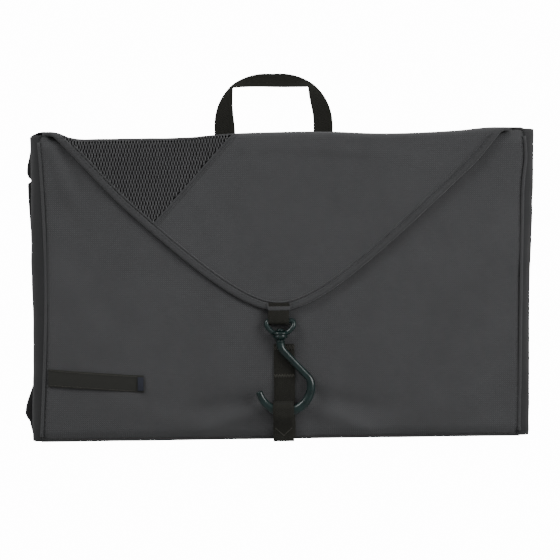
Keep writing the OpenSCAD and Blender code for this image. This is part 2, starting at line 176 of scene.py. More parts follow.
GROUPS = {"bag_cloth": BagCloth, "bag_net": BagNet, "bag_stitch": BagStitch, "bag_hook": BagHook,
          "bag_zip": BagZip, "bag_stage": BagStage}


# ---------------------------------------------------------------- mesh helpers (millimetres in, metres out)


def new_mesh(name, verts, faces, smooth=True):
    mesh = bpy.data.meshes.new(name)
    mesh.from_pydata([[c * MM for c in v] for v in verts], [], faces)
    mesh.validate()
    if smooth:
        mesh.polygons.foreach_set("use_smooth", [True] * len(mesh.polygons))
    mesh.update()
    obj = bpy.data.objects.new(name, mesh)
    bpy.context.scene.collection.objects.link(obj)
    return obj


def applied(obj):
    """The object with its modifiers made part of its mesh."""
    bpy.context.view_layer.update()
    seen = obj.evaluated_get(bpy.context.evaluated_depsgraph_get())
    mesh = bpy.data.meshes.new_from_object(seen)
    old = obj.data
    obj.modifiers.clear()
    obj.data = mesh
    mesh.name = obj.name
    if old.users == 0:
        bpy.data.meshes.remove(old)
    return obj


def outward(obj, weld=1e-6):
    """Merges doubles and turns every face outwards."""
    work = bmesh.new()
    work.from_mesh(obj.data)
    bmesh.ops.remove_doubles(work, verts=work.verts, dist=weld)
    bmesh.ops.recalc_face_normals(work, faces=work.faces)
    work.to_mesh(obj.data)
    work.free()
    obj.data.update()
    return obj


def lattice_faces(rows, cols, wrap_rows=False, wrap_cols=False, start=0):
    faces = []
    for r in range(rows if wrap_rows else rows - 1):
        for c in range(cols if wrap_cols else cols - 1):
            r2, c2 = (r + 1) % rows, (c + 1) % cols
            faces.append((start + r * cols + c, start + r * cols + c2, start + r2 * cols + c2, start + r2 * cols + c))
    return faces


def lattice(name, rows, wrap_rows=False, wrap_cols=False):
    verts = [p for row in rows for p in row]
    return new_mesh(name, verts, lattice_faces(len(rows), len(rows[0]), wrap_rows, wrap_cols))


def thick(obj, t, offset=-1.0, bevel=0.0):
    """Gives a sheet its thickness in millimetres, and soft edges."""
    wall = obj.modifiers.new("wall", "SOLIDIFY")
    wall.thickness, wall.offset, wall.use_even_offset = t * MM, offset, False
    if bevel:
        edge = obj.modifiers.new("edge", "BEVEL")
        edge.width, edge.segments, edge.limit_method, edge.angle_limit = bevel * MM, 2, "ANGLE", math.radians(50)
    return applied(obj)


def ring_section(radius, sides, flat=1.0):
    return [(radius * math.cos(2 * math.pi * k / sides), flat * radius * math.sin(2 * math.pi * k / sides))
            for k in range(sides)]


def sweep(name, path, section, side=(0, 1, 0), closed=False, scale=None):
    """A closed cross-section carried along a path. Its first axis lies across the path, and its second near side."""
    side = Vector(side)
    points = [Vector(p) for p in path]
    count = len(points)
    verts = []
    for i, p in enumerate(points):
        if closed:
            way = points[(i + 1) % count] - points[i - 1]
        else:
            way = points[min(i + 1, count - 1)] - points[max(i - 1, 0)]
        way.normalize()
        across = way.cross(side).normalized()
        up = across.cross(way).normalized()
        cut = section(i / max(count - 1, 1)) if callable(section) else section
        k = scale(i / max(count - 1, 1)) if scale else 1.0
        verts += [p + across * (a * k) + up * (b * k) for a, b in cut]
    sides = len(verts) // count
    faces = lattice_faces(count, sides, closed, True)
    if not closed:
        faces += [tuple(range(sides - 1, -1, -1)), tuple((count - 1) * sides + k for k in range(sides))]
    return outward(new_mesh(name, verts, faces))


def lathe(name, centre, profile, sides=36):
    """A solid of revolution about an upright line, from its (radius, height) profile, closed at both ends."""
    cx, cy = centre
    rows = [[(cx + r * math.cos(2 * math.pi * k / sides), cy + r * math.sin(2 * math.pi * k / sides), z)
             for k in range(sides)] for r, z in profile]
    verts = [p for row in rows for p in row]
    faces = lattice_faces(len(rows), sides, False, True)
    faces += [tuple(range(sides)), tuple((len(rows) - 1) * sides + k for k in range(sides - 1, -1, -1))]
    return outward(new_mesh(name, verts, faces))


def joined(name, pieces):
    """One object out of several."""
    work = bmesh.new()
    for piece in pieces:
        work.from_mesh(piece.data)
    mesh = bpy.data.meshes.new(name)
    work.to_mesh(mesh)
    work.free()
    for piece in pieces:
        data = piece.data
        bpy.data.objects.remove(piece)
        bpy.data.meshes.remove(data)
    obj = bpy.data.objects.new(name, mesh)
    bpy.context.scene.collection.objects.link(obj)
    return obj


def ease(t):
    t = max(0.0, min(1.0, t))
    return t * t * (3 - 2 * t)


def bump(t, at, width):
    return math.exp(-((t - at) / width) ** 2)


def fold(x, z, a, b, width):
    """How near a point lies to a soft fold that runs from a to b, fading at its ends."""
    ax, az = a
    dx, dz = b[0] - ax, b[1] - az
    long = math.hypot(dx, dz)
    along = ((x - ax) * dx + (z - az) * dz) / long
    off = ((x - ax) * dz - (z - az) * dx) / long
    share = along / long
    if share < -0.3 or share > 1.3:
        return 0.0
    return math.exp(-(off / width) ** 2) * ease((share + 0.3) / 0.5) * ease((1.3 - share) / 0.5)


def drift(x, z, size, seed=0.0):
    return noise.noise(Vector((x / size + seed, z / size - seed, seed * 1.7)))


def dressed(obj, body, material, nodes=(), between=None):
    """Hangs a finished piece on its body with its finish, or leaves it in place when given between, and hides the
    model's nodes that it stands for.
    """
    obj.data.materials.clear()
    obj.data.materials.append(material)
    if between:
        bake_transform(obj)
    else:
        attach(obj, body)
    if nodes:
        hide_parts(*nodes)
    return obj


# ---------------------------------------------------------------- the bag's sewn shape


def seam_x(side, z):
    """Where the front panel's side seam runs, at a height."""
    if side < 0:
        return -(167.6 + 3.9 * max(0.0, (z - 115) / 103) ** 2 + 5.0 * max(0.0, (115 - z) / 115) ** 1.7)
    return 169.2 + 0.0225 * z + 0.00003 * z * z + 1.7 * bump(z, 200, 13)


def gusset_x(side, z):
    """How far out the front section's gusset stands, at a height."""
    if side < 0:
        return -(177.6 + 0.8 * max(0.0, (40 - z) / 40) + 0.35 * math.sin(z / 17))
    return 176.2 + 6.8 * (z / 218) ** 1.5 + 0.3 * math.sin(z / 21)


def rear_x(side, z):
    """How far out the rear section's gusset stands, with the folds of its slack cloth."""
    if side > 0:
        return 176.4 + 3.0 * (z / 218) ** 2 + 0.5 * drift(9, z, 30, 2.0)
    slack = 3.6 * ease((216 - z) / 20) * ease((z - 188) / 5) + 3.4 * ease((z - 118) / 66) * ease((187.5 - z) / 1.5)
    slack += 7.2 * ease((50 - z) / 30) * ease((z - 16.5) / 2.5) + 4.2 * ease(z / 16) * ease((19 - z) / 2.5)
    return -(177.2 + slack + 0.3 * drift(5, z, 22, 1.0))


def flap_z(x):
    """Height of the flap's edge."""
    z = TIP_Z + math.sqrt(42.0 ** 2 + (0.98 * (x - TIP_X)) ** 2) - 42.0
    return z - 0.8 * bump(x, TIP_X, 22) + 5.5 * ease((-108 - x) / 55) + 5.0 * ease((x - 138) / 28)


def flap_edge(x, inset=0.0):
    """A point on the flap's edge, or set in from it square to the edge."""
    step = 0.5
    dx, dz = 2 * step, flap_z(x + step) - flap_z(x - step)
    long = math.hypot(dx, dz)
    return x - dz / long * inset, FOLD_Y, flap_z(x) + dx / long * inset


def section_sag(x):
    """How far a section's top hangs below its corners, under the fold."""
    return (1.1 * max(0.0, top_dip(x)) + 2.4) * (1 - ease((abs(x) - 152) / 14))


def tuck(z):
    """How far the front section's face turns under towards its bottom."""
    return 5.4 * max(0.0, (50 - z) / 50) ** 1.7


def panel_y(x, z, depth):
    """The front panel's outer face: flat in the middle, with soft folds, easing back at its edges."""
    y = Y_FRONT + 0.25
    folds = 1.6 * fold(x, z, (-163, 214), (-150, 176), 5) - 1.2 * fold(x, z, (-157, 214), (-143, 178), 6)
    folds += 1.3 * fold(x, z, (18, 24), (62, 6), 5) - 1.1 * fold(x, z, (20, 33), (66, 22), 6)
    folds += 1.3 * fold(x, z, (-14, 22), (-58, 8), 5) - 1.1 * fold(x, z, (-16, 30), (-64, 22), 6)
    folds += 0.6 * fold(x, z, (-40, 4), (-120, 26), 9) + 0.6 * fold(x, z, (60, 4), (140, 30), 10)
    folds += 0.7 * fold(x, z, (160, 150), (120, 96), 12) - 0.6 * fold(x, z, (166, 118), (128, 60), 10)
    folds += 0.6 * fold(x, z, (-160, 120), (-128, 70), 12)
    folds += 0.85 * drift(x, z, 60, 3.0) + 0.3 * drift(x, z, 21, 7.0)
    near_strap = ease(min(abs(x - STRAP_X) / 16.0, 1.0))
    under_flap = 0.35 if z > flap_z(x) - 3 else 1.0
    y -= folds * depth * near_strap * under_flap
    y = max(y, Y_FRONT - 0.12 if z > flap_z(x) - 4 else Y_FRONT - 1.6)
    edge = min(x - seam_x(-1, z), seam_x(1, z) - x)
    y += 1.1 * (1 - ease(edge / 5.0))
    under = 1.0 if abs(x - STRAP_X) > 26 else 0.35 + 0.65 * ease((abs(x - STRAP_X) - 9) / 17)
    y += 2.4 * (1 - ease((z - 2.0) / 6.0)) + 2.0 * (1 - ease((218 - z) / 6.0)) + under * tuck(z)
    return y


def back_y(x, z, depth):
    """The back panel's outer face."""
    folds = 0.9 * drift(x, z, 70, 11.0) + 0.35 * drift(x, z, 24, 13.0)
    folds += 0.6 * fold(x, z, (-150, 30), (-90, 70), 10) + 0.6 * fold(x, z, (150, 40), (95, 90), 10)
    edge = min(x + 172, 172 - x)
    y = Y_BACK - 0.3 + 0.6 * folds * depth
    y -= 1.2 * (1 - ease(edge / 6.0)) + 2.2 * (1 - ease((z - 2.0) / 6.0))
    return min(y, Y_BACK + 0.4)


def padded_cover(name, cols, rows, left, right, low, high, corner, y_at, lift=0.0):
    """A grid that fills a panel with rounded corners. Returns the object and the points round its border."""
    grid = []
    for r in range(rows + 1):
        line = []
        for c in range(cols + 1):
            z = low + (high - low) * r / rows
            x0, x1 = left(z), right(z)
            x = x0 + (x1 - x0) * c / cols
            u, v = 0.0, 0.0
            if x < x0 + corner:
                u = (x - (x0 + corner)) / corner
            elif x > x1 - corner:
                u = (x - (x1 - corner)) / corner
            if z < low + corner:
                v = (z - (low + corner)) / corner
            elif z > high - corner:
                v = (z - (high - corner)) / corner
            if u and v:
                pull = max(abs(u), abs(v)) / math.hypot(u, v)
                x += corner * (u * pull - u)
                z += corner * (v * pull - v)
            top = ease((z - high + 9) / 9)
            z += lift * ease((abs(x) - 150) / 18) * top - section_sag(x) * ease((z - high + 24) / 24)
            line.append((x, y_at(x, z), z))
        grid.append(line)
    border = grid[0][:-1] + [row[-1] for row in grid[:-1]] + grid[-1][:0:-1] + [row[0] for row in grid[:0:-1]]
    return lattice(name, grid), border


def between_heights(z, low, high):
    """One between two heights, easing to nothing 6 mm outside them."""
    return ease((z - low + 6) / 6) * ease((high + 6 - z) / 6)


def front_lip(z):
    """How far back the front gusset's lip reaches: nearly to the rear one, clear of the two lower zip pulls."""
    return -0.25 - 3.0 * between_heights(z, *LOWER_PULLS_Z) - 0.7 * between_heights(z, *UPPER_PULL_Z)


def rear_lip(z):
    """How far forward the rear gusset's lip reaches, clear of the upper zip pull."""
    return 0.25 + 3.0 * between_heights(z, *UPPER_PULL_Z) + 0.7 * between_heights(z, *LOWER_PULLS_Z)


def gusset_loop(name, border, reach, lip, y_pocket, deep):
    """A band of cloth round a section, from its cover's border to its pocket face, standing out as it goes."""
    count, steps = len(border), 14
    rows = []
    for k in range(steps + 1):
        t = k / steps
        line = []
        for i, (x, y, z) in enumerate(border):
            ax, _, az = border[i - 2]
            bx, _, bz = border[(i + 2) % count]
            tx, tz = bx - ax, bz - az
            long = math.hypot(tx, tz) or 1.0
            nx, nz = tz / long, -tx / long
            out = (reach(-1 if x < 0 else 1, z) - x) / (nx if abs(nx) > 0.5 else 1e9)
            out = abs(out) * abs(nx) + 1.9 * abs(nz)
            swell = math.sin(math.pi * min(t, 0.74) / 1.48) - 0.10 * ease((t - 0.74) / 0.26)
            ripple = 0.35 * drift(x + z, t * 30, 11, 5.0) * math.sin(math.pi * t)
            px = x + nx * (out * swell + ripple)
            ceiling = GUSSET_HIGH + 1.4 * ease((abs(x) - 166) / 5) - section_sag(x)
            pz = max(GUSSET_LOW, min(ceiling, z + nz * (out * swell + ripple)))
            line.append((px, y + (lip(z) - y) * t ** deep, pz))
        rows.append(line)
    # the edge turns in towards the pocket
    for share, back in ((0.35, 0.1), (0.75, 0.6), (1.1, 1.0)):
        rows.append([(x + (sx - x) * share, y + (y_pocket - y) * back, z + (sz - z) * share)
                     for (x, y, z), (sx, _, sz) in zip(rows[steps], border)])
    return lattice(name, rows, False, True)


# ---------------------------------------------------------------- materials


def material(name):
    mat = bpy.data.materials.new(name)
    mat.use_nodes = True
    tree = mat.node_tree
    shader = tree.nodes["Principled BSDF"]
    return mat, tree, shader


def tuned(node, **values):
    """Sets a node's inputs by name, with a gap in a name written as an underscore."""
    for key, value in values.items():
        node.inputs[key.replace("_", " ")].default_value = value
    return node


def maths(tree, operation, a, b=None):
    node = tree.nodes.new("ShaderNodeMath")
    node.operation = operation
    for socket, value in zip(node.inputs, (a, b)):
        if value is None:
            continue
        if isinstance(value, (int, float)):
            socket.default_value = value
        else:
            tree.links.new(value, socket)
    return node.outputs[0]


def weave_group():
    """Threads that run both ways over cloth, whichever way it faces: a height and a slow patchiness."""
    if "cloth_threads" in bpy.data.node_groups:
        return bpy.data.node_groups["cloth_threads"]
    group = bpy.data.node_groups.new("cloth_threads", "ShaderNodeTree")
    face = group.interface
    face.new_socket("Pitch", in_out="INPUT", socket_type="NodeSocketFloat").default_value = 0.001
    face.new_socket("Slant", in_out="INPUT", socket_type="NodeSocketFloat").default_value = 0.0
    face.new_socket("Height", in_out="OUTPUT", socket_type="NodeSocketFloat")
    face.new_socket("Patches", in_out="OUTPUT", socket_type="NodeSocketFloat")
    start, end = group.nodes.new("NodeGroupInput"), group.nodes.new("NodeGroupOutput")
    place = group.nodes.new("ShaderNodeTexCoord")
    spot, way = group.nodes.new("ShaderNodeSeparateXYZ"), group.nodes.new("ShaderNodeSeparateXYZ")
    group.links.new(place.outputs["Object"], spot.inputs[0])
    group.links.new(place.outputs["Normal"], way.inputs[0])
    turn = maths(group, "DIVIDE", 2 * math.pi, start.outputs["Pitch"])
    total = None
    across = maths(group, "ADD", spot.outputs["X"], spot.outputs["Y"])
    slanted = maths(group, "MULTIPLY", across, start.outputs["Slant"])
    for axis, others in (("X", ("Y", "Z")), ("Y", ("X", "Z")), ("Z", ("X", "Y"))):
        facing = maths(group, "POWER", maths(group, "ABSOLUTE", way.outputs[axis]), 3.0)
        waves = []
        for n, other in enumerate(others):
            along = spot.outputs[other]
            if n == 1:
                along = maths(group, "ADD", along, slanted)
            waves.append(maths(group, "SINE", maths(group, "MULTIPLY", along, turn)))
        both = maths(group, "MULTIPLY", waves[0], waves[1])
        both = maths(group, "ADD", both, maths(group, "MULTIPLY", maths(group, "ADD", waves[0], waves[1]), 0.35))
        part = maths(group, "MULTIPLY", both, facing)
        total = part if total is None else maths(group, "ADD", total, part)
    group.links.new(total, end.inputs["Height"])
    cloudy = tuned(group.nodes.new("ShaderNodeTexNoise"), Scale=22.0, Detail=5.0, Roughness=0.62)
    group.links.new(place.outputs["Object"], cloudy.inputs["Vector"])
    group.links.new(cloudy.outputs["Fac"], end.inputs["Patches"])
    return group


def cloth(name, colour, pitch=0.0009, rough=0.86, relief=0.25, sheen=0.12, contrast=0.16, slant=0.0, grain=1400.0):
    """Woven cloth: threads both ways, slow patchiness, fine fibre grain and a faint sheen."""
    mat, tree, shader = material(name)
    threads = tree.nodes.new("ShaderNodeGroup")
    threads.node_tree = weave_group()
    tuned(threads, Pitch=pitch, Slant=slant)
    place = tree.nodes.new("ShaderNodeTexCoord")
    fibre = tuned(tree.nodes.new("ShaderNodeTexNoise"), Scale=grain, Detail=2.0)
    tree.links.new(place.outputs["Object"], fibre.inputs["Vector"])
    level = maths(tree, "MULTIPLY", threads.outputs["Height"], contrast)
    for source, strength in ((threads.outputs["Patches"], 0.42), (fibre.outputs["Fac"], 0.5)):
        level = maths(tree, "ADD", level, maths(tree, "MULTIPLY", maths(tree, "SUBTRACT", source, 0.5), strength))
    level = maths(tree, "ADD", level, 1.0)
    tint = tree.nodes.new("ShaderNodeMix")
    tint.data_type, tint.blend_type = "RGBA", "MULTIPLY"
    tint.inputs["Factor"].default_value = 1.0
    tint.inputs["A"].default_value = (*colour, 1.0)
    grey = tree.nodes.new("ShaderNodeCombineColor")
    for socket in grey.inputs:
        tree.links.new(level, socket)
    tree.links.new(grey.outputs[0], tint.inputs["B"])
    tree.links.new(tint.outputs["Result"], shader.inputs["Base Color"])
    height = maths(tree, "ADD", threads.outputs["Height"], maths(tree, "MULTIPLY", fibre.outputs["Fac"], 0.8))
    relief_node = tuned(tree.nodes.new("ShaderNodeBump"), Strength=relief, Distance=0.0002)
    tree.links.new(height, relief_node.inputs["Height"])
    tree.links.new(relief_node.outputs[0], shader.inputs["Normal"])
    tuned(shader, Roughness=rough, Specular_IOR_Level=0.25, Sheen_Weight=sheen, Sheen_Roughness=0.5)
    return mat


def moulded(name, colour, rough=0.2, scratch=0.25, metallic=0.0, coat=0.3, shine=0.5):
    """Glossy moulding or enamel: faint flow marks in the colour and worn, uneven gloss."""
    mat, tree, shader = material(name)
    place = tree.nodes.new("ShaderNodeTexCoord")
    flow = tuned(tree.nodes.new("ShaderNodeTexNoise"), Scale=160.0, Detail=4.0)
    pits = tuned(tree.nodes.new("ShaderNodeTexNoise"), Scale=1500.0)
    for n in (flow, pits):
        tree.links.new(place.outputs["Object"], n.inputs["Vector"])
    ramp = tree.nodes.new("ShaderNodeValToRGB")
    ramp.color_ramp.elements[0].position, ramp.color_ramp.elements[1].position = 0.3, 0.75
    ramp.color_ramp.elements[0].color = (*[c * 0.75 for c in colour], 1)
    ramp.color_ramp.elements[1].color = (*[min(1.0, c * 1.45) for c in colour], 1)
    tree.links.new(flow.outputs["Fac"], ramp.inputs["Fac"])
    tree.links.new(ramp.outputs["Color"], shader.inputs["Base Color"])
    gloss = maths(tree, "ADD", maths(tree, "MULTIPLY", flow.outputs["Fac"], scratch), rough)
    tree.links.new(gloss, shader.inputs["Roughness"])
    relief = tuned(tree.nodes.new("ShaderNodeBump"), Strength=0.12, Distance=0.0001)
    tree.links.new(pits.outputs["Fac"], relief.inputs["Height"])
    tree.links.new(relief.outputs[0], shader.inputs["Normal"])
    tuned(shader, Metallic=metallic, Specular_IOR_Level=shine, Coat_Weight=coat, Coat_Roughness=0.12)
    return mat


def finish_of(name):
    """The named finish, made the first time it is asked for."""
    if name in bpy.data.materials:
        return bpy.data.materials[name]
    look = bpy.context.scene
    c, n, s, h, z = look.bag_cloth, look.bag_net, look.bag_stitch, look.bag_hook, look.bag_zip
    makers = {
        "ripstop_shell": lambda: cloth(name, c.shell_colour, c.thread_pitch, 0.84, 0.5, 0.1, 0.3),
        # the rear gusset: the gusset cloth darkened to 0.42, painted shade for the rear section's sides that hang in
        # shadow
        "shaded_gusset": lambda: cloth(name, [v * 0.42 for v in c.gusset_colour], 0.0011, 0.9, 0.35, 0.05, 0.14),
        "ribbed_gusset": lambda: cloth(name, c.gusset_colour, 0.0011, 0.9, 0.35, 0.1, 0.14),
        "bound_edge": lambda: cloth(name, [v * 0.94 for v in c.shell_colour], 0.0012, 0.88, 0.45, 0.12, 0.2, 1.0),
        "black_webbing": lambda: cloth(name, c.webbing_colour, c.webbing_pitch, 0.8, 0.8, 0.02, 0.7, 0.5, 900.0),
        "dark_lining": lambda: cloth(name, c.lining_colour, 0.0007, 0.8, 0.2, 0.0, 0.1),
        "label_weave": lambda: cloth(name, c.label_colour, 0.0008, 0.7, 0.35, 0.1, 0.25),
        "label_tab": lambda: cloth(name, (0.005, 0.0065, 0.013), 0.0008, 0.7, 0.35, 0.1, 0.25),
        "knitted_net": lambda: cloth(name, n.colour, 0.0006, 0.82, 0.3, 0.1, 0.2),
        "sewing_thread": lambda: cloth(name, s.colour, 0.0004, 0.6, 0.3, 0.2, 0.3),
        "strap_thread": lambda: cloth(name, (0.026, 0.025, 0.019), 0.0004, 0.6, 0.3, 0.2, 0.3),
        "foam_sheet": lambda: cloth(name, (0.48, 0.48, 0.45), 0.0021, 0.95, 0.3, 0.0, 0.04),
        "zip_tape_weave": lambda: cloth(name, z.colour, 0.0009, 0.8, 0.5, 0.1, 0.35),
        "nylon_coil": lambda: moulded(name, z.colour, 0.3, 0.2, 0.0, 0.1),
        "green_black_moulding": lambda: moulded(name, h.colour, 0.2, 0.16, 0.0, 0.1, 0.24),
        "black_enamel": lambda: moulded(name, (0.012, 0.012, 0.013), 0.22, 0.3, 0.4, 0.4),
    }
    return makers[name]()


# ---------------------------------------------------------------- geometry-nodes repeats


def repeat_tree(name, tag, sizes):
    """A tree that puts one shape on every point of a mesh, turned by the point's own angle, and makes it real."""
    tree = bpy.data.node_groups.new(name, "GeometryNodeTree")
    face = tree.interface
    face.new_socket("Geometry", in_out="INPUT", socket_type="NodeSocketGeometry")
    face.new_socket(tag, in_out="INPUT", socket_type="NodeSocketObject")
    for label, value in sizes:
        face.new_socket(label, in_out="INPUT", socket_type="NodeSocketFloat").default_value = value
    face.new_socket("Finish", in_out="INPUT", socket_type="NodeSocketMaterial")
    face.new_socket("Geometry", in_out="OUTPUT", socket_type="NodeSocketGeometry")
    start, end = tree.nodes.new("NodeGroupInput"), tree.nodes.new("NodeGroupOutput")
    shape = tree.nodes.new("GeometryNodeObjectInfo")
    tree.links.new(start.outputs[tag], shape.inputs["Object"])
    turn = tree.nodes.new("GeometryNodeInputNamedAttribute")
    turn.data_type = "FLOAT_VECTOR"
    turn.inputs["Name"].default_value = "turn"
    size = tree.nodes.new("ShaderNodeCombineXYZ")
    for axis, (label, _) in zip("XYZ", sizes):
        tree.links.new(start.outputs[label], size.inputs[axis])
    on_points = tree.nodes.new("GeometryNodeInstanceOnPoints")
    tree.links.new(start.outputs["Geometry"], on_points.inputs["Points"])
    tree.links.new(shape.outputs["Geometry"], on_points.inputs["Instance"])
    tree.links.new(turn.outputs["Attribute"], on_points.inputs["Rotation"])
    tree.links.new(size.outputs[0], on_points.inputs["Scale"])
    real = tree.nodes.new("GeometryNodeRealizeInstances")
    paint = tree.nodes.new("GeometryNodeSetMaterial")
    tree.links.new(on_points.outputs[0], real.inputs[0])
    tree.links.new(real.outputs[0], paint.inputs["Geometry"])
    tree.links.new(start.outputs["Finish"], paint.inputs["Material"])
    tree.links.new(paint.outputs[0], end.inputs["Geometry"])
    return tree


def repeated(name, places, shape, sizes, finish, tag="Shape"):
    """Puts a shape, drawn about the origin one unit long, on every place: (point in mm, (rx, ry, rz))."""
    mesh = bpy.data.meshes.new(name + "_points")
    mesh.from_pydata([[c * MM for c in p] for p, _ in places], [], [])
    turn = mesh.attributes.new("turn", "FLOAT_VECTOR", "POINT")
    turn.data.foreach_set("vector", [c for _, r in places for c in r])
    obj = bpy.data.objects.new(name, mesh)
    bpy.context.scene.collection.objects.link(obj)
    tree = repeat_tree(name + "_tree", tag, sizes)
    nodes = obj.modifiers.new("repeat", "NODES")
    nodes.node_group = tree
    for item in tree.interface.items_tree:
        if item.in_out == "INPUT" and item.name == tag:
            nodes[item.identifier] = shape
        elif item.in_out == "INPUT" and item.name == "Finish":
            nodes[item.identifier] = finish
        elif item.in_out == "INPUT" and item.name in dict(sizes):
            nodes[item.identifier] = dict(sizes)[item.name]
    applied(obj)
    data = shape.data
    bpy.data.objects.remove(shape)
    bpy.data.meshes.remove(data)
    return obj


def unit_shape(name, verts, faces):
    """A shape in units, to be repeated; it's scaled where it is put."""
    mesh = bpy.data.meshes.new(name)
    mesh.from_pydata(verts, [], faces)
    mesh.polygons.foreach_set("use_smooth", [True] * len(faces))
    obj = bpy.data.objects.new(name, mesh)
    bpy.context.scene.collection.objects.link(obj)
    outward(obj)
    return obj


def stitch_shape(name):
    """One stitch along X, one unit long and one thick, dipping into the cloth at both ends."""
    verts, sides = [], 6
    rings = ((-0.5, 0.35, -0.35), (-0.36, 0.9, 0.05), (0.0, 1.0, 0.2), (0.36, 0.9, 0.05), (0.5, 0.35, -0.35))
    for x, r, lift in rings:
        verts += [(x, 0.5 * r * math.cos(2 * math.pi * k / sides) - lift, 0.5 * r * math.sin(2 * math.pi * k / sides))
                  for k in range(sides)]
    faces = lattice_faces(len(rings), sides, False, True)
    faces += [tuple(range(sides)), tuple((len(rings) - 1) * sides + k for k in range(sides - 1, -1, -1))]
    return unit_shape(name, verts, faces)


def stitch_sizes(longer=1.0, wider=1.0):
    s = bpy.context.scene.bag_stitch
    return [("Length", s.length * longer), ("Thickness", s.thickness), ("Width", s.thickness * wider)]


def stitch_row(name, path, body, finish="sewing_thread", between=None, pitch=3.1):
    """A row of stitches along a path that lies on cloth facing -Y."""
    places, carried = [], pitch / 2
    for a, b in zip(path, path[1:]):
        a, b = Vector(a), Vector(b)
        step = (b - a).length
        at = carried
        while at < step:
            p = a + (b - a) * (at / step)
            d = b - a
            places.append((tuple(p), (0.0, -math.atan2(d.z, d.x), 0.0)))
            at += pitch
        carried = at - step
    obj = repeated(name, places, stitch_shape(name + "_one"), stitch_sizes(), finish_of(finish), "Stitch")
    return dressed(obj, body, finish_of(finish), (), between)


# ---------------------------------------------------------------- operators: the two padded sections


class BAG_OT_front_section(bpy.types.Operator):
    """Sew the front section: padded cover, gusset and the welts on its side seams"""
    bl_idname = "bag.front_section"
    bl_label = "Front Section"

    def execute(self, context):
        depth = context.scene.bag_cloth.wrinkle_depth / MM
        low, high = FRONT_LOW[2] + 0.2, FRONT_HIGH[2] - 0.6
        cover, border = padded_cover("front_cover", 170, 110, lambda z: seam_x(-1, z), lambda z: seam_x(1, z),
                                     low, high, 3.5, lambda x, z: panel_y(x, z, depth), 1.9)
        thick(cover, CLOTH_T)
        dressed(cover, "bag", finish_of("ripstop_shell"), ("front_panel",))
        band = gusset_loop("front_side_gusset", border, gusset_x, front_lip, Y_POCKET_FRONT, 1.25)
        thick(band, BAND_T)
        dressed(band, "bag", finish_of("ribbed_gusset"), ("front_gusset",))
        welts = []
        for side in (-1, 1):
            path = []
            for k in range(66):
                z = low + 2.5 + (high - low - 5) * k / 65
                path.append((seam_x(side, z) + side * 0.3, Y_FRONT + 0.9 + tuck(z), z))
            welts.append(sweep(f"welt_{side}", path, ring_section(1.1, 10)))
        welt = joined("side_welts", welts)
        dressed(welt, "bag", finish_of("bound_edge"), ("front_piping",))
        for side in (-1, 1):
            path = [(seam_x(side, z) - side * 2.1, panel_y(seam_x(side, z) - side * 2.1, z, depth) - 0.12, z)
                    for z in range(5, 216, 4)]
            stitch_row(f"welt_stitches_{'left' if side < 0 else 'right'}", path, "bag")
        return {"FINISHED"}


class BAG_OT_rear_section(bpy.types.Operator):
    """Sew the rear section: padded back, slack gusset and the fold of cloth over the top and under the bottom"""
    bl_idname = "bag.rear_section"
    bl_label = "Rear Section"

    def execute(self, context):
        depth = context.scene.bag_cloth.wrinkle_depth / MM
        low, high = REAR_LOW[2] + 0.2, REAR_HIGH[2] - 3.0
        back, border = padded_cover("back_cover", 120, 80, lambda z: -172.0, lambda z: 172.0, low, high, 6.0,
                                    lambda x, z: back_y(x, z, depth))
        back.data.flip_normals()
        thick(back, CLOTH_T)
        dressed(back, "bag", finish_of("ripstop_shell"), ("rear_panel",))
        band = gusset_loop("rear_side_gusset", border, rear_x, rear_lip, Y_POCKET_REAR, 0.8)
        band.data.flip_normals()
        thick(band, BAND_T)
        # the rear gusset wears the darkened gusset cloth: painted shade
        dressed(band, "bag", finish_of("shaded_gusset"), ("rear_gusset",))
        # cloth from the back panel over the rear top edge
        rows = []
        for k in range(49):
            t = k / 48
            line = []
            for c in range(91):
                run = t * 60.0
                wide = ease(run / 22) - 0.9 * ease((run - 48) / 12)
                x = -172.5 - 4.0 * wide + (345.5 + 11.5 * wide) * c / 90
                droop = top_dip(x) + 0.2 + 1.6 * ease((abs(x - 2.0) - 171) / 7)
                if run < 19:
                    y, z = Y_BACK + 0.3, TOP - 21 + run - droop * 0.5 * ease(run / 19)
                elif run < 23:
                    a = (run - 19) / 4 * math.pi / 2
                    y, z = Y_BACK - 2.2 + 2.5 * math.cos(a), TOP - 2 - droop * 0.5 + 2 * math.sin(a)
                else:
                    y, z = Y_BACK - 2.2 - (run - 23), TOP - droop * (0.5 + 0.5 * ease((run - 23) / 10))
                line.append((x, y, z + 0.12 * math.sin(x / 3.1) * (1 - t)))
            rows.append(line)
        crown = lattice("crown_cloth", rows)
        thick(crown, CLOTH_T)
        shell = finish_of("ripstop_shell")
        dressed(crown, ("bag", "top_strip"), shell, ("top_fold_strip",), CROWN_BEND)
        # the fold under the bottom
        rows = []
        for k in range(25):
            t = k / 24
            line = []
            for c in range(91):
                x = -173.0 + 343.0 * c / 90
                y = Y_FRONT + 8.0 + (Y_BACK - Y_FRONT - 10.0) * t
                z = 0.25 + 1.6 * (1 - ease(min(t, 1 - t) / 0.08)) + 0.15 * drift(x, y, 25, 6.0)
                line.append((x, y, max(0.05, z)))
            rows.append(line)
        fold_cloth = lattice("base_fold_cloth", rows)
        fold_cloth.data.flip_normals()
        thick(fold_cloth, 0.7, -1.0)
        dressed(fold_cloth, "bag", finish_of("ripstop_shell"), ("base_fold_strip",))
        return {"FINISHED"}


# ---------------------------------------------------------------- operators: the flap


def net_seam_z(x):
    """Height of the seam between the flap's cloth and its mesh corner."""
    low = flap_z(NET_LOW_X)
    return low + (TOP - low) * (x - NET_LOW_X) / (NET_TOP_X - NET_LOW_X)


def top_dip(x):
    """How far the flap's top edge sags over the mesh corner."""
    return (3.7 * ease((x + 160) / 20) * (1 - ease((x + 86) / 74)) + 0.45 * drift(x, 3, 34, 9.0) + 0.25
            + 1.9 * bump(x, 84, 34) - 2.5 * (1 - ease((x + 163) / 16)) - 1.4 * ease((x - 128) / 26))


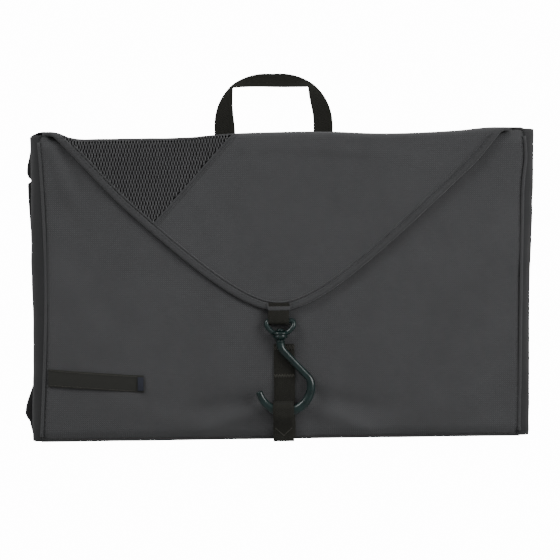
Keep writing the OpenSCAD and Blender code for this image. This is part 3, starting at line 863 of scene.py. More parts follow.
def flap_y(x, z, out=0.0):
    """The flap's outer face, rolling over the top fold. Returns y and z for a run measured up the flap."""
    roll_at = TOP - FOLD_R - top_dip(x)
    ease_in = 0.5 * drift(x, z, 55, 15.0) + 0.22 * drift(x, z, 19, 17.0)
    ease_in += 0.5 * fold(x, z, (-20, 212), (60, 206), 5) - 0.45 * fold(x, z, (-10, 203), (70, 199), 5)
    ease_in += 0.4 * fold(x, z, (70, 205), (120, 190), 7) - 0.35 * fold(x, z, (-60, 190), (-30, 150), 9)
    y = FOLD_Y + 0.15 - 0.8 * max(-0.4, ease_in) * ease((roll_at - z) / 14)
    if z <= roll_at:
        return y - out, z
    run = z - roll_at
    quarter = FOLD_R * math.pi / 2
    if run < quarter:
        a = run / FOLD_R
        return (y + FOLD_R * (1 - math.cos(a)) - out * math.cos(a),
                roll_at + FOLD_R * math.sin(a) + out * math.sin(a))
    return y + FOLD_R + (run - quarter), roll_at + FOLD_R + out


class BAG_OT_flap(bpy.types.Operator):
    """Sew the envelope flap: outer cloth, lining, bound edge, seam rolls and the slot for the tab"""
    bl_idname = "bag.flap"
    bl_label = "Envelope Flap"

    def execute(self, context):
        width = context.scene.bag_cloth.binding_width / MM
        ends = (-169.0, 167.5)
        cols, rows_n = 210, 84
        rows = [[] for _ in range(rows_n + 1)]
        first, last = NET_LOW_X - 1.0, ends[1]
        for c in range(cols + 1):
            x = first + (last - first) * c / cols
            start = min(flap_edge(x, width - 0.6)[2], TOP + FLAP_TURN)
            stop = TOP + FLAP_TURN if x > NET_TOP_X + 6 else min(net_seam_z(x) + 0.6, TOP + FLAP_TURN)
            stop = max(stop, start + 0.02)
            for r in range(rows_n + 1):
                zz = start + (stop - start) * r / rows_n
                edge = zz - start
                rows[r].append((x, *flap_y(x, zz, -0.55 * (1 - ease(edge / 2.6)))))
        outer = lattice("flap_cloth", rows)
        thick(outer, CLOTH_T)
        dressed(outer, ("top_strip", "flap"), finish_of("ripstop_shell"), ("flap_panel",), FLAP_BEND)
        # lining, behind everything and on over the fold
        rows = [[] for _ in range(61)]
        for c in range(141):
            x = ends[0] + 3.0 + (ends[1] - ends[0] - 6.0) * c / 140
            start = min(flap_edge(x, width - 2.0)[2], TOP)
            for r in range(61):
                zz = start + (TOP + FLAP_TURN + 4.0 - start) * r / 60
                rows[r].append((x, *flap_y(x, zz, -2.1)))
        lining = lattice("flap_inner_cloth", rows)
        thick(lining, 0.3, -1.0)
        dressed(lining, ("top_strip", "flap"), finish_of("dark_lining"), ("flap_lining",), FLAP_BEND)
        # bound edge: a folded tape over all the layers
        cut = [(0.0, 0.0), (0.25, -1.05), (0.9, -1.65), (2.4, -1.9), (3.9, -1.85), (4.7, -1.5), (width, -0.9),
               (width, 1.0), (4.6, 1.3), (2.4, 1.42), (0.9, 1.3), (0.25, 0.8)]
        verts, count, mid = [], 261, 1.35
        for k in range(count):
            x = ends[0] + (ends[1] - ends[0]) * k / (count - 1)
            px, _, pz = flap_edge(x)
            dx, dz = flap_edge(x, 1.0)[0] - px, flap_edge(x, 1.0)[2] - pz
            lift = 0.10 * math.sin(x / 4.7) + 0.12 * drift(x, pz, 9, 23.0)
            for d, out in cut:
                qx, qz = px + dx * d, pz + dz * d
                y, z = flap_y(qx, min(qz, TOP + 6))
                if qz <= TOP - FOLD_R - top_dip(qx):
                    verts.append((qx, y + mid + out + (lift if out < 0 else 0), z))
                else:
                    verts.append((qx, *flap_y(qx, qz, -(mid + out))))
        faces = lattice_faces(count, len(cut), False, True)
        faces += [tuple(range(len(cut) - 1, -1, -1)), tuple((count - 1) * len(cut) + k for k in range(len(cut)))]
        tape = outward(new_mesh("flap_edge_binding", verts, faces))
        dressed(tape, ("top_strip", "flap"), finish_of("bound_edge"), ("flap_binding",), FLAP_BEND)
        # the narrow roll along the binding, and the one along the mesh corner
        path = []
        for k in range(241):
            px, _, pz = flap_edge(-164.0 + 327.0 * k / 240, width + 1.05)
            if pz < TOP - 4 - top_dip(px):
                path.append((px, *flap_y(px, pz, 0.02)))
        rolls = [sweep("roll_binding", path, ring_section(0.62, 8))]
        for shift, radius in ((0.5, 0.55), (3.0, 0.45)):
            path = []
            for k in range(61):
                x = NET_LOW_X + 1.5 + shift + (NET_TOP_X - NET_LOW_X - 1.0) * k / 60
                zz = net_seam_z(x) - shift * 1.25
                if flap_z(x) + 6.0 < zz < TOP + 3:
                    path.append((x, *flap_y(x, zz, 0.05)))
            rolls.append(sweep(f"roll_net_{shift}", path, ring_section(radius, 8)))
        roll = joined("flap_seam_rolls", rolls)
        dressed(roll, ("top_strip", "flap"), finish_of("bound_edge"), (), FLAP_BEND)
        path = []
        for k in range(241):
            x = -160.0 + 318.0 * k / 240
            px, _, pz = flap_edge(x, width - 1.0)
            path.append((px, flap_y(px, pz)[0] - 0.62, pz))
        stitch_row("binding_stitches", path, ("top_strip", "flap"), between=FLAP_BEND)
        self.slot()
        return {"FINISHED"}

    def slot(self):
        """The bound slot at the tip that the tab passes through."""
        y = FOLD_Y - 0.72
        x0, x1 = TIP_X - 8.1, TIP_X + 7.9
        dark = bevelled_plate("tab_slot", (x0 + 0.4, y - 0.35, TIP_Z + 1.8), (x1 - 0.4, y + 0.3, TIP_Z + 4.7), 0.15)
        dressed(dark, "flap", finish_of("black_webbing"))
        frame_bits = [
            bevelled_plate("slot_sill", (x0, y - 1.45, TIP_Z - 0.5), (x1, y - 0.75, TIP_Z + 2.3), 0.3),
            bevelled_plate("slot_left", (x0 - 0.7, y - 0.5, TIP_Z + 0.1), (x0 + 0.5, y + 0.7, TIP_Z + 5.0), 0.25),
            bevelled_plate("slot_right", (x1 - 0.5, y - 0.5, TIP_Z + 0.1), (x1 + 0.7, y + 0.7, TIP_Z + 5.0), 0.25),
        ]
        dressed(joined("tab_slot_frame", frame_bits), "flap", finish_of("bound_edge"))


def bevelled_plate(name, low, high, bevel):
    """A plate with soft edges."""
    rows = [[(x, low[1], z) for x in (low[0], high[0])] for z in (low[2], high[2])]
    return thick(lattice(name, rows), high[1] - low[1], -1.0, bevel)


class BAG_OT_mesh_corner(bpy.types.Operator):
    """Knit the mesh corner of the flap from repeated strands"""
    bl_idname = "bag.mesh_corner"
    bl_label = "Mesh Corner"

    def execute(self, context):
        net = context.scene.bag_net
        pitch, row, strand = net.pitch / MM, net.row / MM, net.strand / MM
        places = []
        steps = int((TOP + 8 - flap_z(NET_LOW_X)) / row) + 1
        for j in range(-2, steps + 1):
            zz = flap_z(NET_LOW_X) + j * row
            count = int(150 / pitch)
            for i in range(count):
                x = -172.0 + (i + (0.5 if j % 2 else 0.0)) * pitch
                if zz < flap_edge(x, 5.2)[2] - 0.3 or zz > TOP + FLAP_TURN:
                    continue
                if x > NET_TOP_X + 7 or (x > NET_LOW_X - 2 and zz < net_seam_z(x) + 0.4):
                    continue
                y, z = flap_y(x, zz, -0.25)
                y2, z2 = flap_y(x, zz + 0.5, -0.25)
                lean = math.atan2(y2 - y, max(z2 - z, 1e-4))
                jig = 0.16 * drift(x * 7, zz * 7, 5, 31.0)
                places.append(((x + jig, y, z), (-lean, 0.0, 0.0)))
        # four arms of a knot, one unit wide and one high
        w = 0.5 * strand / pitch
        verts, faces = [], []
        for sx in (-1, 1):
            for sz in (-1, 1):
                rings = []
                for t in (0.0, 0.25, 0.55, 1.0):
                    cx = sx * (0.04 + 0.21 * ease(t))
                    cz = sz * 0.5 * t
                    half = w * (1.25 - 0.25 * t)
                    rise = 0.5 - 0.15 * t
                    rings.append([(cx - half, rise * 0.2, cz), (cx, -rise, cz),
                                  (cx + half, rise * 0.2, cz), (cx, rise * 0.6, cz)])
                base = len(verts)
                verts += [p for r in rings for p in r]
                faces += lattice_faces(len(rings), 4, False, True, base)
                faces.append(tuple(base + 12 + k for k in (3, 2, 1, 0)))
                faces.append(tuple(base + k for k in range(4)))
        shape = unit_shape("net_knot", verts, faces)
        sizes = [("Pitch", net.pitch), ("Depth", net.strand), ("Row", net.row * 1.06)]
        obj = repeated("mesh_corner_net", places, shape, sizes, finish_of("knitted_net"), "Knot")
        dressed(obj, ("top_strip", "flap"), finish_of("knitted_net"), ("flap_mesh",), FLAP_BEND)
        return {"FINISHED"}


# ---------------------------------------------------------------- operators: webbing


def ribbon(name, path, width, t, centre=0.0):
    """Flat webbing that follows a path in Y and Z, running across X."""
    verts = []
    count = len(path)
    for i, (y, z) in enumerate(path):
        py, pz = path[max(i - 1, 0)]
        qy, qz = path[min(i + 1, count - 1)]
        ty, tz = qy - py, qz - pz
        long = math.hypot(ty, tz) or 1.0
        ny, nz = -tz / long, ty / long
        half, edge = width / 2, WEB_EDGE
        outline = [(-half, 0.0)] + [(x, 0.5) for x in (-half + edge, -half / 2, 0, half / 2, half - edge)]
        outline += [(half, 0.0)] + [(x, -0.5) for x in (half - edge, half / 2, 0, -half / 2, -half + edge)]
        verts += [(centre + x, y + ny * h * t, z + nz * h * t) for x, h in outline]
    faces = lattice_faces(count, 12, False, True)
    faces += [tuple(range(11, -1, -1)), tuple((count - 1) * 12 + k for k in range(12))]
    return outward(new_mesh(name, verts, faces))


def smooth_path(points, per=6):
    """Points on a soft curve through the given ones."""
    out = []
    for i in range(len(points) - 1):
        p0, p1, p2, p3 = points[max(i - 1, 0)], points[i], points[i + 1], points[min(i + 2, len(points) - 1)]
        for k in range(per):
            t = k / per
            out.append(tuple(
                0.5 * (2 * b + (c - a) * t + (2 * a - 5 * b + 4 * c - d) * t * t + (3 * b - a - 3 * c + d) * t ** 3)
                for a, b, c, d in zip(p0, p1, p2, p3)))
    out.append(tuple(points[-1]))
    return out


class BAG_OT_webbing(bpy.types.Operator):
    """Sew on the webbing: front strap, keeper, bar tacks, the hook's tab and the label strip"""
    bl_idname = "bag.webbing"
    bl_label = "Webbing and Label"

    def execute(self, context):
        web = finish_of("black_webbing")
        y = STRAP_LOW[1] + 0.45
        line = smooth_path([(y + 0.3, 1.5), (y, 10), (y, 30), (y, 50), (y + 0.1, 66), (y + 0.25, 68.5)])
        strap = ribbon("front_strap_web", line, WEB_WIDTH, 1.0, STRAP_X)
        dressed(strap, "bag", web, ("front_strap",))
        y_in, y_s = KEEPER_LOW[1] + 0.6, STRAP_LOW[1]
        path = smooth_path([
            (y_s - 0.5, 27.2), (y_s - 2.6, 26.2), (y_in + 0.7, 24.0), (y_in, 20.0), (y_in + 0.3, 16.0),
            (y_s - 3.0, 10.5), (y_s - 1.2, 5.5), (y_s - 0.8, 1.8), (y_s + 0.6, -0.3),
            (y_s + 5.0, -0.55), (y_s + 11.0, -0.45)])
        keeper = ribbon("keeper_web", path, WEB_WIDTH, 1.1, KEEPER_X)
        dressed(keeper, "bag", web, ("keeper_loop",))
        self.tacks()
        y_bar, z_bar, r = FOLD_Y + 0.14, node_mm("swivel_ring")[1][2] - 1.5, 2.2
        path = [(y_bar - 0.35, TIP_Z + 4.9), (y_bar - 0.7, TIP_Z + 3.4), (y_bar - 1.15, TIP_Z + 1.2),
                (y_bar - 1.75, TIP_Z - 1.2), (y_bar - r - 0.05, z_bar + 3.2), (y_bar - r, z_bar + 1.0)]
        path += [(y_bar - r * math.cos(a), z_bar - r * math.sin(a)) for a in [math.pi * k / 14 for k in range(15)]]
        path += [(y_bar + r, z_bar + 1.0), (y_bar + r - 0.1, z_bar + 4.0), (y_bar + r - 0.6, TIP_Z + 3.0)]
        tab = ribbon("hook_tab_web", path, WEB_WIDTH, 1.0, TIP_X - 0.6)
        dressed(tab, "flap", web, ("hook_tab",))
        self.label()
        self.anchors()
        return {"FINISHED"}

    def tacks(self):
        """Rows of close zigzag across the strap, and the cross sewn low on the keeper."""
        y = STRAP_LOW[1] - 0.12
        places = []
        for z0, rows in ((66.9, 3), (46.4, 2)):
            for r in range(rows):
                for k in range(15):
                    x = STRAP_X - 6.7 + 13.4 * k / 14
                    places.append(((x, y, z0 - r * 0.9), (0.0, 0.9 * (-1) ** k, 0.0)))
        for k in range(9):
            t = k / 8
            for side in (-1, 1):
                zz = 3.0 + 4.6 * t
                yy = STRAP_LOW[1] - 1.85 - 0.9 * max(0.0, (zz - 4) / 4)
                places.append(((KEEPER_X + side * (0.4 + 5.0 * t), yy, zz + 0.6), (0.0, -side * 0.75, 0.0)))
        obj = repeated("strap_tack_stitches", places, stitch_shape("tack_one"), stitch_sizes(0.95, 1.1),
                       finish_of("strap_thread"), "Stitch")
        dressed(obj, "bag", finish_of("strap_thread"), ("strap_bartacks",))

    def label(self):
        """A blank woven strip sewn on beside the left seam, with a small loop tag at its end."""
        x0, x1 = -166.8, -98.4
        rows = []
        for r in range(9):
            line = []
            for c in range(61):
                t = c / 60
                x = x0 + (x1 - x0) * t
                top, bottom = 53.0 - 5.6 * t ** 0.9, 40.3 - 5.1 * t ** 0.9
                z = bottom + (top - bottom) * r / 8
                y = Y_FRONT - 0.75 + tuck(z) - 0.25 * math.sin(t * math.pi) - 0.12 * drift(x, z, 12, 41.0)
                line.append((x, y, z))
            rows.append(line)
        strip = thick(lattice("label_strip", rows), 0.55, -1.0, 0.12)
        dressed(strip, "bag", finish_of("label_weave"), ("side_label",))
        tag = bevelled_plate("label_tag", (x1 - 4.6, Y_FRONT - 1.55, 36.4), (x1 - 0.4, Y_FRONT - 0.9, 46.2), 0.15)
        dressed(tag, "bag", finish_of("label_tab"))
        for name, z0, z1 in (("label_stitches_top", 51.9, 46.6), ("label_stitches_low", 41.4, 36.4)):
            heights = [z0 + (z1 - z0) * (k / 12) ** 0.9 for k in range(13)]
            path = [(x0 + 1 + (x1 - x0 - 7) * k / 12, Y_FRONT - 1.12 + tuck(z), z) for k, z in enumerate(heights)]
            stitch_row(name, path, "bag", "strap_thread", pitch=2.6)

    def anchors(self):
        """The handle's two ends, sewn flat on the back panel with a crossed box."""
        leg = 42.0 - HANDLE_WEB_WIDTH / 2
        webs, places = [], []
        for side in (-1, 1):
            x = HANDLE_X + side * leg
            y = Y_BACK + 0.75
            line = smooth_path([(y, 196.8), (y + 0.1, 205), (y + 0.1, 213), (y - 0.05, 217.7)], 5)
            webs.append(ribbon(f"anchor_{side}", line, HANDLE_WEB_WIDTH, 1.0, x))
            for k in range(6):
                t = k / 5
                along, up = -5.3 + 10.6 * t, 10 * t
                for dx, dz, turn in ((-5.3, up, math.pi / 2), (5.3, up, math.pi / 2), (along, 0, 0), (along, 10, 0),
                                     (along, up, -0.75), (along, 10 - up, 0.75)):
                    places.append(((x + dx, y + 0.58, 199.5 + dz), (0.0, turn, 0.0)))
        web = joined("handle_end_webs", webs)
        dressed(web, "bag", finish_of("black_webbing"), ("handle_anchors",))
        obj = repeated("handle_end_stitches", places, stitch_shape("box_one"), stitch_sizes(),
                       finish_of("strap_thread"), "Stitch")
        dressed(obj, "bag", finish_of("strap_thread"))


class BAG_OT_carry_handle(bpy.types.Operator):
    """Fold the webbing carry handle: flat legs that turn on edge at the corners and lie flat again in the grip"""
    bl_idname = "bag.carry_handle"
    bl_label = "Carry Handle"

    def execute(self, context):
        cx, cz, y0 = HANDLE_X, HANDLE_LOW[2], (HANDLE_LOW[1] + HANDLE_HIGH[1]) / 2
        across, steps = 8, 96
        rows = []
        for k in range(steps + 1):
            a = math.pi * (1 - k / steps)
            bulge = 44.3 + 3.3 * abs(math.sin(2 * a)) ** 1.3
            if a > math.pi / 2:
                outer = (cx + (bulge - 1.6) * math.cos(a), cz + bulge * math.sin(a))
            else:
                outer = (cx + (bulge - 1.2) * math.cos(a), cz + (bulge - 0.6 * math.cos(a)) * math.sin(a))
            corner_a, left, right, top = math.radians(130), cx - 29.4, cx + 29.2, cz + 34.6
            if a >= corner_a:
                t = (math.pi - a) / (math.pi - corner_a)
                inner = (left + 1.6 * (1 - ease(t / 0.7)), cz + (top - cz) * t)
            elif a <= math.pi - corner_a:
                t = a / (math.pi - corner_a)
                inner = (right - 3.4 * ease((t - 0.25) / 0.75), cz + (top - cz) * t)
            else:
                t = (corner_a - a) / (2 * corner_a - math.pi)
                inner = (left + (right - 3.4 - left) * t, top + 0.5 * math.sin(math.pi * 2 * t) * 0.6)
            on_edge = bump(a, corner_a, 0.26) + bump(a, math.pi - corner_a, 0.26)
            line = []
            for j in range(across + 1):
                s = j / across
                x = inner[0] + (outer[0] - inner[0]) * s
                z = inner[1] + (outer[1] - inner[1]) * s
                y = (y0 + 0.35 + on_edge * 3.4 * s + 0.3 * abs(drift(x, z, 14, 51.0))
                     + 0.5 * math.sin(s * math.pi) * (1 - on_edge))
                line.append((x, y, z))
            rows.append(line)
        web = lattice("handle_web", rows)
        thick(web, 1.15, 0.0, 0.25)
        outward(web)
        dressed(web, "handle", finish_of("black_webbing"), ("carry_handle",))
        return {"FINISHED"}


# ---------------------------------------------------------------- operators: ring and hook


class BAG_OT_swivel_hook(bpy.types.Operator):
    """Mould the ring with its swivel barrel, and the S-shaped hook"""
    bl_idname = "bag.swivel_hook"
    bl_label = "Swivel Hook"

    def execute(self, context):
        hook = context.scene.bag_hook
        gloss = finish_of("green_black_moulding")
        z_bar, y_bar, y_h = node_mm("swivel_ring")[1][2] - 1.5, FOLD_Y + 0.14, PIN_Y
        half = [(0.0, y_bar, z_bar), (5.6, y_bar, z_bar), (7.6, y_bar - 0.1, z_bar + 0.35),
                (9.0, y_bar - 0.5, z_bar - 0.1), (9.7, y_bar - 1.0, z_bar - 1.8), (9.3, y_h + 0.2, z_bar - 3.8),
                (8.0, y_h, z_bar - 5.6), (6.4, y_h, z_bar - 7.2), (4.4, y_h, z_bar - 8.4), (0.0, y_h, z_bar - 8.9)]
        loop = [(PIN_X + x, y, z) for x, y, z in half] + [(PIN_X - x, y, z) for x, y, z in half[-2:0:-1]]
        loop = loop + loop[:1]
        path = smooth_path(loop, 6)[:-1]
        bar = sweep("ring_loop", path, ring_section(1.75, 14), closed=True)
        z0 = PIN_LOW[2] + 0.3
        barrel = lathe("ring_barrel", (PIN_X, y_h), [(r, z0 + up) for r, up in (
            (1.7, 6.3), (3.6, 6.2), (5.5, 5.8), (6.1, 5.1), (6.1, 4.5), (5.6, 3.95), (4.9, 3.7), (4.8, 3.4), (5.1, 3.0),
            (5.2, 2.5), (5.0, 1.9), (4.3, 1.4), (3.6, 0.9), (3.1, 0.35), (2.4, 0.05), (1.8, 0.0))])
        ring = joined("swivel_ring_body", [bar, barrel])
        dressed(ring, "ring", gloss, ("swivel_ring",))
        head = lathe("swivel_head", (PIN_X, y_h), [(r, PIN_HIGH[2] + up) for r, up in (
            (0.2, 0.35), (1.4, 0.3), (2.4, -0.1), (2.7, -0.7), (2.5, -1.3), (1.6, -1.5))], 24)
        neck = lathe("hook_collar", (PIN_X, y_h), [(r, z0 + up) for r, up in (
            (1.6, 0.1), (2.9, -0.25), (3.15, -0.7), (2.95, -1.2), (2.2, -1.9))], 28)
        line = self.centreline()
        sizes = (hook.neck / MM / 2, hook.bend / MM / 2, hook.tip / MM / 2)

        def thickness(t):
            grow = sizes[0] + (sizes[1] - sizes[0]) * ease((t - 0.22) / 0.34) - 0.32 * bump(t, 0.2, 0.1)
            taper = grow + (sizes[2] - grow) * ease((t - 0.70) / 0.30)
            if t > 0.975:
                taper *= math.sqrt(max(0.02, 1 - ((t - 0.975) / 0.0252) ** 2))
            return taper

        bar = sweep("hook_bar", line, ring_section(1.0, 20, 0.8), scale=thickness)
        body = joined("hook_body", [bar, neck, head])
        dressed(body, "hook", gloss, ("swing_hook", "swivel_pin"))
        return {"FINISHED"}

    def centreline(self):
        """The hook's line: down the neck, across to the right, round the shoulder and round the bend."""
        hook_high = node_mm("swing_hook")[1]
        bar = 2.5
        neck_top, lean, neck_r, shoulder_r, bend_r = hook_high[2], math.radians(43), 9.0, 12.0, 18.8
        neck_z = neck_top + 0.3 - 2.2
        right = hook_high[0] - bar
        nx, nz = PIN_X + neck_r * (1 - math.cos(lean)), neck_z - neck_r * math.sin(lean)
        sx = right - shoulder_r
        ix = sx + shoulder_r * math.cos(lean)
        iz = nz - (ix - nx) / math.tan(lean)
        sz = iz - shoulder_r * math.sin(lean)
        bx = right - bend_r
        rise = 1.0
        points = [(PIN_X, PIN_Y, neck_top - 0.4), (PIN_X, PIN_Y, neck_z + 0.6)]
        for k in range(9):
            a = math.pi + lean * k / 8
            points.append((PIN_X + neck_r + neck_r * math.cos(a), PIN_Y, neck_z + neck_r * math.sin(a)))
        for k in range(1, 8):
            points.append((nx + (ix - nx) * k / 8, PIN_Y, nz + (iz - nz) * k / 8))
        for k in range(9):
            a = lean * (1 - k / 8)
            points.append((sx + shoulder_r * math.cos(a), PIN_Y, sz + rise * k / 8 + shoulder_r * math.sin(a)))
        for k in range(1, 49):
            a = -math.radians(163) * k / 48
            points.append((bx + bend_r * math.cos(a), PIN_Y, sz + rise + bend_r * math.sin(a)))
        end, before = Vector(points[-1]), Vector(points[-3])
        way = (end - before).normalized()
        for k in (1, 2, 3, 4):
            points.append(tuple(end + way * 0.45 * k))
        return points


# ---------------------------------------------------------------- operators: inside


class BAG_OT_zips(bpy.types.Operator):
    """Fit the three zips: woven tapes, nylon coils, sliders and pulls"""
    bl_idname = "bag.zips"
    bl_label = "Zips"

    def execute(self, context):
        for where in ("upper", "left", "right"):
            self.fit(where, -1 if where == "upper" else 1)
        return {"FINISHED"}

    def fit(self, where, facing):
        z_set = bpy.context.scene.bag_zip
        low, high = node_mm(f"{where}_zip_tape")
        y_face = low[1] if facing < 0 else high[1]
        mid_z = (low[2] + high[2]) / 2
        halves = []
        for side in (-1, 1):
            inner, outer_z = mid_z + side * 0.5, mid_z + side * (high[2] - low[2]) / 2
            rows = []
            for r in range(7):
                z = inner + (outer_z - inner) * r / 6
                rows.append([(low[0] + (high[0] - low[0]) * c / 60,
                              y_face - facing * (0.25 + 0.12 * math.sin(c * 0.9) * (r > 4)), z) for c in range(61)])
            tape = lattice(f"{where}_tape_{side}", rows)
            halves.append(outward(thick(tape, 0.45, 0.0, 0.1)))
        tapes = joined(f"{where}_zip_tapes", halves)
        dressed(tapes, "bag", finish_of("zip_tape_weave"), (f"{where}_zip_tape",))
        clow, chigh = node_mm(f"{where}_zip_coil")
        pitch = z_set.tooth_pitch / MM
        places = []
        for side in (-1, 1):
            count = int((chigh[0] - clow[0]) / pitch)
            for k in range(count):
                x = clow[0] + (k + (0.5 if side > 0 else 0.25)) * pitch
                turn = (0.0, 0.0 if side < 0 else math.pi, 0.0)
                places.append(((x, y_face + facing * 0.5, mid_z + side * 0.62), turn))
        verts, sides, rings = [], 6, 7
        for k in range(rings):
            a = math.pi * (k / (rings - 1))
            cy, cz = math.sin(a) * 0.42, -math.cos(a) * 0.42
            for m in range(sides):
                b = 2 * math.pi * m / sides
                out = 0.16 * math.sin(b)
                verts.append((0.30 * math.cos(b), facing * (cy + out * math.sin(a)), cz - out * math.cos(a)))
        faces = lattice_faces(rings, sides, False, True)
        faces += [tuple(range(sides)), tuple((rings - 1) * sides + m for m in range(sides - 1, -1, -1))]
        tooth = unit_shape(f"{where}_tooth", verts, faces)
        sizes = [("Pitch", z_set.tooth_pitch), ("Depth", 0.0013), ("Reach", 0.0017)]
        coil = repeated(f"{where}_zip_teeth", places, tooth, sizes, finish_of("nylon_coil"), "Tooth")
        dressed(coil, "bag", finish_of("nylon_coil"), (f"{where}_zip_coil",))
        self.slider(where, facing, y_face)

    def slider(self, where, facing, y_face):
        low, high = node_mm(f"{where}_zip_slider")
        cx, cz = (low[0] + high[0]) / 2, (low[2] + high[2]) / 2
        y1 = y_face + facing * 1.25
        outline = [(-4.5, 0), (-4.1, 2.9), (-2.0, 3.9), (1.6, 3.9), (3.9, 2.6), (4.5, 0)]
        outline = outline + [(x, -z) for x, z in outline[-2:0:-1]]
        verts = [(cx + x, y1, cz + z) for x, z in outline]
        verts += [(cx + x * 0.9, y1 + facing * 0.95, cz + z * 0.88) for x, z in outline]
        n = len(outline)
        faces = lattice_faces(2, n, False, True) + [tuple(range(n)), tuple(range(n, 2 * n))]
        plates = [outward(new_mesh("slider_top", verts, faces))]
        wing = sorted((y1 - facing * 0.9, y1))
        for side in (-1, 1):
            wing_z = cz + side * 3.4
            plates.append(outward(bevelled_plate("slider_wing", (cx - 3.9, wing[0], wing_z - 0.5),
                                                 (cx + 3.9, wing[1], wing_z + 0.5), 0.2)))
        for name, near, far, radius in (("slider_post", 0.7, 2.1, 1.15), ("slider_cap", 2.0, 2.3, 1.85)):
            line = [(cx, y1 + facing * near, cz), (cx, y1 + facing * far, cz)]
            plates.append(sweep(name, line, ring_section(radius, 16), side=(0, 0, 1)))
        body = applied(self.soft(joined(f"{where}_slider_body", plates)))
        dressed(body, f"{where}_slider", finish_of("black_enamel"), (f"{where}_zip_slider",))
        plow, phigh = node_mm(f"{where}_zip_pull")
        px, pz0, pz1 = (plow[0] + phigh[0]) / 2, plow[2], phigh[2]
        y0, t = plow[1], phigh[1] - plow[1]
        outer, hole = [], []
        for k in range(32):
            a = 2 * math.pi * k / 32
            c, s = math.cos(a), math.sin(a)
            outer.append((px + 3.15 * c * (0.82 if s > 0 else 1.0), (pz1 - 3.2 if s >= 0 else pz0 + 3.2) + 3.15 * s))
            hole.append((px + 1.55 * c, (pz1 - 3.2 if s >= 0 else pz1 - 3.4) + 1.45 * s))
        verts = []
        for yy, grow in ((y0, 0.9), (y0 + t * 0.3, 1.0), (y0 + t * 0.7, 1.0), (y0 + t, 0.9)):
            verts += [(px + (x - px) * grow, yy, z) for x, z in outer]
        for yy in (y0 + t, y0):
            verts += [(x, yy, z) for x, z in hole]
        faces = lattice_faces(6, 32, True, True)
        pull = outward(new_mesh(f"{where}_pull_tag", verts, faces))
        dressed(pull, f"{where}_pull", finish_of("black_enamel"), (f"{where}_zip_pull",))

    def soft(self, obj):
        edge = obj.modifiers.new("edge", "BEVEL")
        edge.width, edge.segments, edge.limit_method, edge.angle_limit = 0.15 * MM, 2, "ANGLE", math.radians(40)
        return obj


